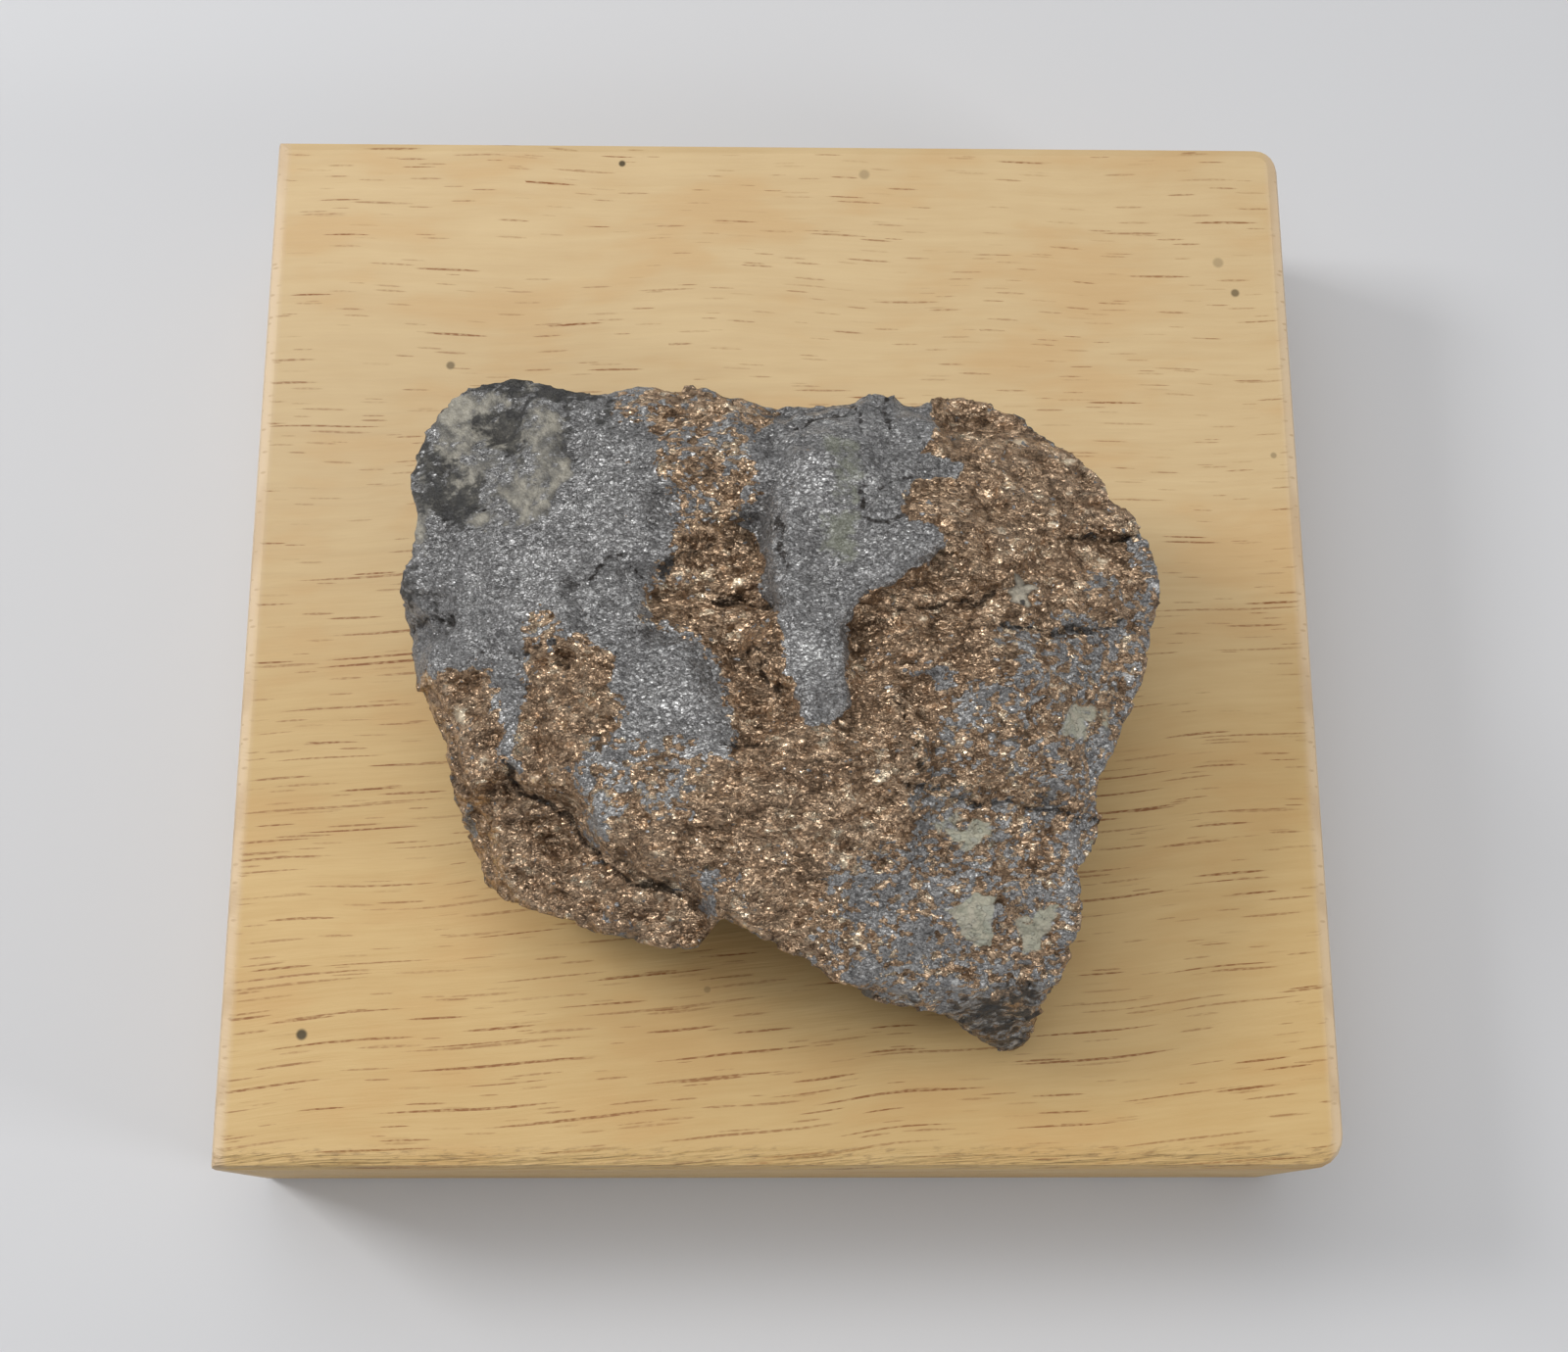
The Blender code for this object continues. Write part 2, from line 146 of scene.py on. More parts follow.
def cleavage(points: np.ndarray, size: float, tilt: float, salt: int) -> np.ndarray:
    """Give the relief of small flat crystal faces that tilt at random.

    Args:
        points: Places in millimetres.
        size: Width of a face in millimetres.
        tilt: Steepest slope of a face.
        salt: Sets the pattern.

    Returns:
        The height over the mean surface at each place, in millimetres.
    """
    scaled = points / size
    base = np.floor(scaled)
    nearest = np.full(len(points), np.inf)
    away = np.zeros(points.shape)
    chosen = np.zeros(points.shape)
    for shift in itertools.product((-1.0, 0.0, 1.0), repeat=3):
        cell = base + np.array(shift)
        offset = scaled - cell - hashed(cell, salt)
        distance = (offset**2).sum(axis=1)
        closer = distance < nearest
        nearest[closer] = distance[closer]
        away[closer] = offset[closer]
        chosen[closer] = cell[closer]
    slopes = (hashed(chosen, salt + 1) * 2.0 - 1.0) * tilt
    return (away * slopes).sum(axis=1) * size


def drift(points: np.ndarray, size: float, salt: int) -> np.ndarray:
    """Give smooth random numbers between -1 and 1, three for each place.

    Args:
        points: Places in millimetres.
        size: Width of one swell in millimetres.
        salt: Sets the pattern.

    Returns:
        One row of three numbers for each place.
    """
    scaled = points / size
    base = np.floor(scaled)
    part = smooth_step(scaled - base)
    total = np.zeros(points.shape)
    for corner in itertools.product((0.0, 1.0), repeat=3):
        weight = np.prod(np.where(np.array(corner) > 0.5, part, 1.0 - part), axis=1)
        total += hashed(base + np.array(corner), salt) * weight[:, None]
    return total * 2.0 - 1.0


def speckle(points: np.ndarray, sizes: tuple[float, ...], salt: int) -> np.ndarray:
    """Give rough noise that takes every value between 0 and 1 about as often.

    Args:
        points: Places in millimetres.
        sizes: Widths of its layers in millimetres, the strongest first.
        salt: Sets the pattern.

    Returns:
        One number for each place.
    """
    total = np.zeros(len(points))
    power = 0.0
    for layer, size in enumerate(sizes):
        weight = LAYER_FALL**layer
        total += weight * drift(points, size, salt + layer)[:, 0]
        power += weight**2
    spread = LAYER_SPREAD * math.sqrt(power)
    return 1.0 / (1.0 + np.exp(-SPECKLE_STRETCH * total / spread))


def segment_distance(start: Pair, end: Pair, x: np.ndarray, y: np.ndarray) -> np.ndarray:
    """Measure how far places lie from a straight segment.

    Args:
        start: One end of the segment.
        end: Its other end.
        x: Places along X.
        y: Places along Y.

    Returns:
        The distance in millimetres.
    """
    (ax, ay), (bx, by) = start, end
    length = (bx - ax) ** 2 + (by - ay) ** 2
    along = np.clip(((x - ax) * (bx - ax) + (y - ay) * (by - ay)) / length, 0.0, 1.0)
    return np.hypot(x - ax - along * (bx - ax), y - ay - along * (by - ay))


def edge_distance(outline: Outline, x: np.ndarray, y: np.ndarray) -> np.ndarray:
    """Measure how far places lie outside an outline, negative inside it.

    Args:
        outline: The corners of a closed outline.
        x: Places along X.
        y: Places along Y.

    Returns:
        The distance in millimetres.
    """
    nearest = np.full(x.shape, np.inf)
    inside = np.zeros(x.shape, dtype=bool)
    for start, end in zip(outline, outline[1:] + outline[:1]):
        nearest = np.minimum(nearest, segment_distance(start, end, x, y))
        (ax, ay), (bx, by) = start, end
        if ay != by:
            crosses = (ay > y) != (by > y)
            inside ^= crosses & (x < (bx - ax) * (y - ay) / (by - ay) + ax)
    return np.where(inside, -nearest, nearest)


def path_distance(path: Outline, x: np.ndarray, y: np.ndarray) -> np.ndarray:
    """Measure how far places lie from an open path.

    Args:
        path: The points of the path.
        x: Places along X.
        y: Places along Y.

    Returns:
        The distance in millimetres.
    """
    nearest = np.full(x.shape, np.inf)
    for start, end in zip(path, path[1:]):
        nearest = np.minimum(nearest, segment_distance(start, end, x, y))
    return nearest


@dataclass(frozen=True)
class Patch:
    """A mineral patch on the broken face, or a patch of painted shade.

    Attributes:
        mark: What the patch changes.
        level: The mark's share inside the patch.
        softness: Width of the patch's blended edge in millimetres.
        outline: The patch's corners.
    """

    mark: Mark
    level: float
    softness: float
    outline: Outline

    def paint(self, values: np.ndarray, x: np.ndarray, y: np.ndarray) -> np.ndarray:
        """Lay the patch over what is there.

        Args:
            values: The mark's share at each place so far.
            x: Places along X.
            y: Places along Y.

        Returns:
            The share with the patch laid in.
        """
        cover = smooth_step(0.5 - edge_distance(self.outline, x, y) / self.softness)
        return values + (self.level - values) * cover


@dataclass(frozen=True)
class Crack:
    """A narrow crack, or the foot of a ledge, cut into the stone and painted with shade.

    Attributes:
        width: Half its width in millimetres.
        path: The points it runs through.
    """

    width: float
    path: Outline

    def distance(self, x: np.ndarray, y: np.ndarray) -> np.ndarray:
        """Give how far places lie from the crack's edge, negative inside it."""
        return path_distance(self.path, x, y) - self.width


@dataclass(frozen=True)
class Glint:
    """One larger crystal face that catches the light.

    Attributes:
        x: Its place along X.
        y: Its place along Y.
        radius: Half its width in millimetres.
        reach: How many times its radius it reaches with its soft edge.
        narrowing: How much narrower it is along each axis.
        slope: How steeply it leans along each axis.
    """

    x: float
    y: float
    radius: float
    reach: float = 1.7
    narrowing: Pair = (0.8, 1.25)
    slope: Pair = (0.42, 0.10)

    def share(self, x: np.ndarray, y: np.ndarray) -> np.ndarray:
        """Give 1 on the face, falling to 0 beside it."""
        away = np.hypot((x - self.x) * self.narrowing[0], (y - self.y) * self.narrowing[1])
        return smooth_step(self.reach - away / self.radius)

    def lean(self, x: np.ndarray, y: np.ndarray) -> np.ndarray:
        """Give the height of the leaning face, 0 beside it."""
        rise = (x - self.x) * self.slope[0] + (y - self.y) * self.slope[1]
        return self.share(x, y) * rise


GLINTS = (
    Glint(24.2, 12.3, 0.46), Glint(29.5, 10.2, 0.50), Glint(32.3, -0.7, 0.50),
    Glint(27.1, 2.3, 0.37), Glint(38.0, -3.2, 0.31), Glint(5.6, -18.8, 0.31),
    Glint(-24.7, -23.3, 0.43), Glint(-32.5, -16.4, 0.50), Glint(19.5, 2.1, 0.31),
    Glint(16.9, -42.8, 0.31), Glint(34.7, -12.2, 0.37), Glint(-4.9, -4.2, 0.56),
    Glint(-7.6, -7.2, 0.43), Glint(22.8, -10.6, 0.31), Glint(13.5, -8.2, 0.37),
    Glint(-11.4, -36.8, 0.31), Glint(-29.8, -21.0, 0.31), Glint(8.8, -24.6, 0.31),
    Glint(29.0, 6.2, 0.31), Glint(17.6, 14.6, 0.31),
)

PATCHES = (
    # The big steel-grey plate of the north-west, with its arms to the south.
    Patch(Mark.BRONZE, 0.02, 2.4, (
        (-41.4, 21.4), (-24.8, 21.4), (-17.0, 20.0), (-13.7, 14.1), (-12.6, 10.5), (-11.7, 6.3),
        (-10.9, 4.1), (-10.4, 1.8), (-10.6, -0.8), (-12.2, -3.0), (-13.8, -4.6), (-14.2, -9.2),
        (-12.0, -8.5), (-10.3, -10.0), (-8.2, -10.7), (-6.7, -13.0), (-5.4, -16.0), (-4.9, -19.7),
        (-4.8, -23.0), (-8.2, -22.6), (-9.4, -25.9), (-12.1, -27.5), (-14.2, -26.1),
        (-17.7, -29.8), (-20.3, -25.8), (-19.6, -21.9), (-16.9, -20.3), (-16.3, -17.4),
        (-18.1, -14.9), (-17.3, -12.5), (-18.7, -10.9), (-21.8, -10.7), (-23.1, -8.4),
        (-25.3, -8.2), (-25.4, -13.6), (-26.0, -18.1), (-26.3, -22.4), (-28.3, -21.9),
        (-28.9, -16.9), (-29.0, -12.8), (-32.6, -12.0), (-37.8, -12.0), (-41.4, -10.8))),
    Patch(Mark.BRONZE, 0.45, 4.0, (
        (-20.0, -21.5), (-9.0, -21.0), (-5.0, -22.5), (-9.4, -26.5), (-14.2, -27.0),
        (-19.8, -27.0))),
    Patch(Mark.BRONZE, 0.85, 1.6, (
        (-26.2, -12.6), (-24.3, -9.3), (-22.4, -9.9), (-20.9, -11.8), (-17.9, -12.1),
        (-18.1, -14.5), (-22.0, -14.5))),
    # The bronze strip at the north, and the grey beside it.
    Patch(Mark.BRONZE, 0.72, 1.8, (
        (-12.9, 20.4), (-4.0, 18.9), (0.8, 18.7), (-1.6, 12.8), (-3.8, 11.7), (-3.0, 7.9),
        (-2.8, 4.7), (-6.0, 4.2), (-6.6, 1.5), (-10.2, 2.0), (-10.9, 4.2), (-11.8, 6.5),
        (-12.4, 10.5))),
    Patch(Mark.BRONZE, 0.30, 2.5, ((-18.6, 20.4), (-13.4, 20.4), (-13.6, 13.1), (-17.1, 12.9))),
    Patch(Mark.BRONZE, 0.10, 1.4, (
        (-4.6, 4.1), (-3.6, 7.4), (-3.6, 11.5), (-1.8, 12.6), (0.6, 8.3), (0.3, 3.2), (-1.4, 1.1),
        (-3.0, 1.8), (-5.4, 1.9))),
    # The smooth grey dome and its tongue.
    Patch(Mark.BRONZE, 0.0, 0.9, (
        (-1.6, 13.0), (1.0, 18.9), (6.4, 19.6), (14.3, 19.4), (15.4, 15.2), (15.6, 11.3),
        (13.6, 9.9), (17.6, 8.7), (17.5, 7.4), (12.5, 6.4), (12.0, 2.4), (14.8, 0.7), (15.6, -0.6),
        (13.9, -2.3), (11.8, -3.9), (9.9, -5.1), (7.9, -5.9), (6.7, -7.5), (6.1, -8.9),
        (5.7, -11.4), (6.2, -14.4), (6.1, -17.2), (4.2, -19.1), (2.0, -18.9), (0.3, -16.1),
        (-0.2, -13.6), (0.3, -10.7), (-0.4, -7.9), (-1.9, -6.3), (-2.2, -3.0), (-2.2, 0.4),
        (-3.0, 2.5), (-2.6, 4.4), (-2.2, 7.5), (-2.6, 10.7))),
    # Grey spots and mixed ground at the east and south.
    Patch(Mark.BRONZE, 0.15, 1.4, ((34.6, 1.7), (39.3, 2.9), (39.3, -3.5), (35.7, -2.0))),
    Patch(Mark.BRONZE, 0.35, 1.8, ((29.3, -2.4), (34.1, -1.4), (34.6, -4.4), (30.3, -5.1))),
    Patch(Mark.BRONZE, 0.15, 1.4, ((20.8, -8.2), (23.5, -8.0), (23.6, -10.0), (20.8, -10.6))),
    Patch(Mark.BRONZE, 0.52, 4.0, (
        (19.9, -9.7), (24.0, -7.5), (30.3, -6.1), (33.5, -4.2), (39.7, -1.9), (38.6, -9.8),
        (36.5, -15.5), (33.4, -20.7), (31.0, -22.8), (22.4, -23.4), (13.7, -24.3), (13.8, -19.0),
        (15.6, -16.0), (18.4, -13.8), (20.4, -11.9))),
    Patch(Mark.BRONZE, 0.12, 1.2, (
        (13.3, -13.4), (16.6, -13.5), (17.0, -15.6), (15.2, -16.0), (13.8, -14.9))),
    Patch(Mark.BRONZE, 0.55, 4.0, (
        (10.4, -24.6), (32.9, -22.4), (34.5, -26.4), (32.9, -34.7), (28.2, -43.0), (26.2, -51.3),
        (12.6, -47.2), (0.2, -41.5), (2.5, -38.9), (3.5, -35.5), (4.5, -32.7), (8.5, -30.6),
        (12.2, -27.6))),
    Patch(Mark.BRONZE, 0.42, 2.5, (
        (4.5, -32.3), (8.6, -30.6), (13.3, -30.2), (15.0, -33.1), (14.1, -37.6), (15.1, -42.0),
        (13.3, -44.3), (5.4, -43.0), (3.6, -39.4), (4.1, -35.5))),
    Patch(Mark.BRONZE, 0.40, 1.4, ((-8.6, -32.8), (-6.4, -33.0), (-6.4, -36.9), (-8.8, -37.4))),
    Patch(Mark.BRONZE, 0.35, 1.4, ((-34.1, -24.9), (-31.6, -24.1), (-31.5, -26.8), (-32.7, -29.5))),
    # The gangue in the north-west corner: pale ground, then its dark parts.
    Patch(Mark.PALE, 0.62, 2.2, (
        (-40.4, 5.8), (-38.9, 12.6), (-35.3, 16.3), (-33.2, 18.1), (-29.5, 18.4), (-26.3, 18.7),
        (-24.0, 15.6), (-22.5, 13.7), (-22.3, 9.0), (-22.0, 6.3), (-23.4, 5.4), (-25.0, 3.1),
        (-26.7, 1.8), (-29.8, 1.0), (-31.7, 2.4), (-33.1, 5.8), (-36.6, 3.4))),
    Patch(Mark.PALE, 1.40, 1.2, (
        (-36.6, 16.4), (-35.0, 18.9), (-32.8, 17.9), (-32.7, 15.6), (-35.0, 14.8))),
    Patch(Mark.PALE, 0.92, 0.9, ((-30.8, 17.4), (-27.8, 16.9), (-27.6, 15.6), (-30.8, 15.8))),
    Patch(Mark.PALE, 0.85, 1.4, (
        (-26.3, 16.9), (-24.2, 14.1), (-22.6, 12.8), (-22.2, 8.1), (-22.0, 6.5), (-23.6, 5.6),
        (-25.3, 7.3), (-25.9, 9.9), (-26.1, 12.9))),
    Patch(Mark.PALE, 0.62, 2.4, (
        (-31.4, 5.5), (-30.4, 8.8), (-27.2, 7.0), (-24.0, 5.6), (-24.0, 2.9), (-26.4, 1.3),
        (-29.8, 1.0), (-31.5, 2.4))),
    Patch(Mark.PALE, 0.70, 0.9, (
        (-38.9, 0.2), (-38.9, 5.2), (-36.6, 3.6), (-35.9, 1.4), (-36.2, -1.1))),
    Patch(Mark.DARK, 0.74, 2.6, (
        (-37.3, 10.2), (-34.4, 10.2), (-32.7, 9.3), (-31.0, 7.5), (-31.0, 6.3), (-30.3, 5.3),
        (-31.7, 2.2), (-34.2, 2.3), (-36.2, 4.4), (-38.7, 7.1))),
    Patch(Mark.DARK, 0.76, 1.6, (
        (-31.9, 14.8), (-30.4, 15.7), (-27.8, 16.1), (-26.4, 18.0), (-26.5, 13.0), (-26.7, 8.5),
        (-27.8, 7.9), (-28.5, 10.7), (-30.5, 11.2), (-31.6, 13.2))),
    # The next two dark patches run along the north and west rims: dark gangue, and painted shade
    # where the rim slopes away.
    Patch(Mark.DARK, 0.80, 1.2, (
        (-32.9, 21.0), (-32.7, 18.0), (-30.0, 17.3), (-28.4, 17.4), (-24.3, 16.2), (-20.0, 15.6),
        (-19.0, 21.0))),
    Patch(Mark.DARK, 0.62, 1.8, (
        (-41.5, 15.0), (-37.4, 13.6), (-36.0, 10.6), (-36.4, 6.0), (-37.2, 4.4), (-38.0, 5.6),
        (-41.5, 6.2))),
    Patch(Mark.DARK, 0.45, 2.0, ((-22.9, 16.7), (-17.2, 16.7), (-17.1, 12.0), (-22.4, 12.1))),
    Patch(Mark.DARK, 0.35, 2.4, (
        (-39.8, -0.4), (-33.4, -1.7), (-31.9, -3.7), (-33.2, -6.2), (-36.1, -6.9), (-39.3, -6.2))),
    # Pale green-white spots at the east and south-east, and moss-green tints on the dome.
    Patch(Mark.GREEN, 0.62, 1.6, (
        (28.5, -15.9), (31.6, -15.6), (33.4, -17.6), (32.1, -19.3), (29.0, -19.5), (27.4, -18.8))),
    Patch(Mark.GREEN, 0.55, 2.0, (
        (14.7, -27.7), (16.4, -26.9), (20.0, -27.0), (20.2, -29.6), (18.2, -30.4), (16.1, -32.4),
        (14.7, -31.9), (15.6, -29.5))),
    Patch(Mark.GREEN, 1.0, 0.8, (
        (15.8, -35.9), (17.6, -35.0), (19.1, -34.0), (21.2, -34.3), (20.9, -36.5), (20.8, -38.8),
        (18.9, -39.2), (17.6, -38.5), (16.9, -37.0))),
    Patch(Mark.GREEN, 0.75, 1.4, (
        (25.1, -34.5), (27.1, -34.8), (26.7, -36.8), (25.3, -39.1), (23.6, -39.7), (23.3, -37.5),
        (25.0, -36.7))),
    Patch(Mark.GREEN, 0.35, 1.6, ((27.6, -26.5), (30.8, -26.3), (30.7, -28.9), (28.4, -29.0))),
    Patch(Mark.PALE, 1.50, 0.6, (
        (21.7, -5.0), (22.6, -4.6), (22.8, -3.5), (23.4, -4.4), (24.7, -4.3), (23.9, -5.2),
        (24.2, -6.2), (23.0, -5.8), (22.1, -6.3), (22.4, -5.4))),
    Patch(Mark.DARK, 1.10, 0.6, ((22.9, -5.6), (23.5, -5.4), (23.5, -6.1), (23.0, -6.2))),
    # Dark paint over the south-east tip: painted shade on its steep face, which turns away from the
    # lights.
    Patch(Mark.DARK, 0.75, 3.0, (
        (8.5, -43.6), (14.0, -44.6), (19.0, -43.6), (23.4, -42.0), (26.6, -44.0), (27.4, -52.0),
        (8.0, -52.0))),
    Patch(Mark.MOSS, 0.85, 1.8, (
        (4.0, 10.6), (6.5, 10.8), (7.7, 6.5), (7.0, 3.6), (5.2, 3.5), (4.7, 6.9))),
    Patch(Mark.MOSS, 0.90, 1.8, ((3.8, 1.8), (6.8, 2.2), (7.1, -1.4), (5.5, -2.9), (3.7, -1.4))),
)

# Cracks and ledge feet: cut into the stone, and painted with shade by the finish.
CRACKS = (
    Crack(0.15, ((-8.0, -5.6), (-5.5, -6.0), (-4.0, -5.8), (-1.5, -6.6))),
    Crack(0.06, ((-22.6, -5.2), (-20.0, -4.2), (-18.0, -2.8), (-15.6, -2.6), (-14.2, -3.9))),
    Crack(0.07, ((-12.2, -3.3), (-10.5, -1.4), (-7.0, 0.2))),
    Crack(0.15, ((-21.0, -12.6), (-22.6, -12.4))),
    Crack(0.18, ((-28.0, -21.7), (-26.0, -23.8), (-24.0, -25.2), (-21.0, -27.4), (-19.6, -29.2),
                     (-17.6, -31.6), (-14.4, -33.4), (-10.4, -34.6))),
    Crack(0.06, ((-38.0, -6.2), (-35.0, -6.5), (-32.0, -6.4))),
    Crack(0.09, ((10.6, 17.0), (10.5, 14.5), (10.9, 12.4))),
    Crack(0.09, ((7.5, 16.4), (7.3, 14.0), (7.6, 11.8))),
    Crack(0.09, ((7.4, 3.0), (8.0, 4.6), (9.4, 5.6), (12.4, 6.5))),
    Crack(0.09, ((7.5, 2.2), (9.6, 1.6), (12.0, 2.2))),
    Crack(0.09, ((-30.0, -10.8), (-26.0, -11.4), (-22.0, -10.9))),
    Crack(0.09, ((-31.0, 4.6), (-28.8, 3.2), (-26.8, 3.6))),
    Crack(0.11, ((20.8, -5.4), (18.0, -6.6), (14.0, -7.2), (10.6, -7.0))),
    Crack(0.08, ((28.4, 1.4), (31.0, 2.0), (36.0, 2.4))),
    Crack(0.11, ((21.4, -8.4), (26.0, -8.6), (30.0, -8.4), (33.6, -6.4))),
    Crack(0.06, ((11.6, -24.8), (18.3, -25.6), (22.4, -25.8), (26.5, -26.0), (32.0, -26.2))),
    Crack(0.11, ((13.0, -23.6), (12.2, -20.0), (11.6, -17.4), (9.8, -15.2))),
    Crack(0.11, ((-3.8, -11.2), (-2.2, -13.6), (-0.4, -15.8))),
    Crack(0.11, ((0.4, -3.2), (-0.8, -1.2), (-1.0, 1.8))),
    Crack(0.11, ((1.0, 12.8), (3.0, 14.0), (6.4, 14.8))),
    Crack(0.09, ((-6.5, -20.9), (-4.0, -20.6), (-1.0, -21.2))),
)


@dataclass(frozen=True)
class Swell:
    """One kind of soft noise.

    Attributes:
        size: Width of its swells in millimetres.
        detail: How many finer layers it has.
        rough: How strong the finer layers are.
        squeeze: What each axis is multiplied by; above 1 the swells are narrower.
    """

    size: float
    detail: float = 2.0
    rough: float = 0.5
    squeeze: Triple = EVEN


class Graph:
    """Short calls that build one node tree."""

    def __init__(self, tree: bpy.types.NodeTree) -> None:
        """Hold the tree that the calls add to."""
        self.tree = tree

    def node(self, kind: str, **settings: object) -> bpy.types.Node:
        """Add a node.

        Args:
            kind: The node's type.
            **settings: Properties to set on it.

        Returns:
            The new node.
        """
        made = self.tree.nodes.new(kind)
        for name, value in settings.items():
            setattr(made, name, value)
        return made

    def feed(self, socket: bpy.types.NodeSocket, value: object) -> None:
        """Set a socket to a plain value, or link it to another node's output.

        Args:
            socket: The input to feed.
            value: A plain value or an output.
        """
        if isinstance(value, bpy.types.NodeSocket):
            self.tree.links.new(value, socket)
        else:
            socket.default_value = value

    def math(self, operation: str, *values: object) -> bpy.types.NodeSocket:
        """Add a sum of plain numbers.

        Args:
            operation: The sum's kind.
            *values: Its inputs.

        Returns:
            The result.
        """
        made = self.node("ShaderNodeMath", operation=operation)
        for socket, value in zip(made.inputs, values):
            self.feed(socket, value)
        return made.outputs[0]

    def vector(self, operation: str, *values: object) -> bpy.types.Node:
        """Add a sum of vectors.

        Args:
            operation: The sum's kind.
            *values: Its inputs.

        Returns:
            The node, because some kinds put out a number and others a vector.
        """
        made = self.node("ShaderNodeVectorMath", operation=operation)
        for socket, value in zip(made.inputs, values):
            self.feed(socket, value)
        return made

    def step(self, value: object, low: object, high: object) -> bpy.types.NodeSocket:
        """Rise smoothly from 0 to 1, which may also run downwards.

        Args:
            value: The number.
            low: Where the result is 0.
            high: Where the result is 1.

        Returns:
            The result.
        """
        made = self.node("ShaderNodeMapRange", interpolation_type="SMOOTHSTEP")
        self.feed(made.inputs["Value"], value)
        self.feed(made.inputs["From Min"], low)
        self.feed(made.inputs["From Max"], high)
        return made.outputs["Result"]

    def blend(self, share: object, first: object, second: object) -> bpy.types.NodeSocket:
        """Mix two colours, each a socket or a plain colour.

        Args:
            share: How much of the second colour shows.
            first: The colour at share 0.
            second: The colour at share 1.

        Returns:
            The mixed colour.
        """
        made = self.node("ShaderNodeMix", data_type="RGBA")
        self.feed(made.inputs[0], share)
        for socket, colour in ((made.inputs[6], first), (made.inputs[7], second)):
            self.feed(socket, (*colour, 1.0) if isinstance(colour, tuple) else colour)
        return made.outputs[2]

    def between(self, share: object, first: object, second: object) -> bpy.types.NodeSocket:
        """Mix two numbers.

        Args:
            share: How much of the second number counts, from 0 to 1.
            first: The number at share 0.
            second: The number at share 1.

        Returns:
            The mixed number.
        """
        made = self.node("ShaderNodeMix", data_type="FLOAT")
        self.feed(made.inputs[0], share)
        self.feed(made.inputs[2], first)
        self.feed(made.inputs[3], second)
        return made.outputs[0]

    def ramp(self, value: object, stops: tuple[tuple[float, Colour], ...]) -> bpy.types.NodeSocket:
        """Turn a number into a colour.

        Args:
            value: The number.
            stops: Places between 0 and 1, and their colours.

        Returns:
            The colour.
        """
        made = self.node("ShaderNodeValToRGB")
        elements = made.color_ramp.elements
        while len(elements) < len(stops):
            elements.new(0.5)
        for element, (place, colour) in zip(elements, stops):
            element.position = place
            element.color = (*colour, 1.0)
        self.feed(made.inputs[0], value)
        return made.outputs[0]

    def noise(self, place: object, swell: Swell) -> bpy.types.NodeSocket:
        """Add soft noise and give its value."""
        return self.swirl(place, swell, "Fac")

    def swirl(self, place: object, swell: Swell, output: str = "Color") -> bpy.types.NodeSocket:
        """Add soft noise.

        Args:
            place: Where it is read, in millimetres.
            swell: Its size and strength.
            output: Which of its outputs is wanted.

        Returns:
            Three numbers, or one where the output is its value.
        """
        if swell.squeeze != EVEN:
            place = self.vector("MULTIPLY", place, swell.squeeze).outputs[0]
        made = self.node("ShaderNodeTexNoise")
        self.feed(made.inputs["Vector"], place)
        made.inputs["Scale"].default_value = 1.0 / swell.size
        made.inputs["Detail"].default_value = swell.detail
        made.inputs["Roughness"].default_value = swell.rough
        return made.outputs[output]

    def rest(self, share: object) -> bpy.types.NodeSocket:
        """Give what is left of 1 beside a share."""
        return self.math("SUBTRACT", 1.0, share)

    def bump(self, shader: bpy.types.Node, height: object) -> None:
        """Raise a shader's surface.

        Args:
            shader: The material's shader.
            height: The height in millimetres.
        """
        made = self.node("ShaderNodeBump")
        made.inputs["Strength"].default_value = 1.0
        made.inputs["Distance"].default_value = MM
        self.feed(made.inputs["Height"], height)
        self.feed(shader.inputs["Normal"], made.outputs[0])

    def flat(self, first: object, second: object) -> bpy.types.NodeSocket:
        """Join two numbers into a place on a plane.

        Args:
            first: Its first number.
            second: Its second number.

        Returns:
            The place, whose third number is 0.
        """
        made = self.node("ShaderNodeCombineXYZ")
        self.feed(made.inputs[0], first)
        self.feed(made.inputs[1], second)
        return made.outputs[0]

    def mark(self, mark: Mark) -> bpy.types.NodeSocket:
        """Read one of the stone's surface marks."""
        return self.node("ShaderNodeAttribute", attribute_name=mark.value).outputs["Fac"]


class Socket(Enum):
    """The kinds of socket that the groups have."""

    NUMBER = "NodeSocketFloat"
    VECTOR = "NodeSocketVector"


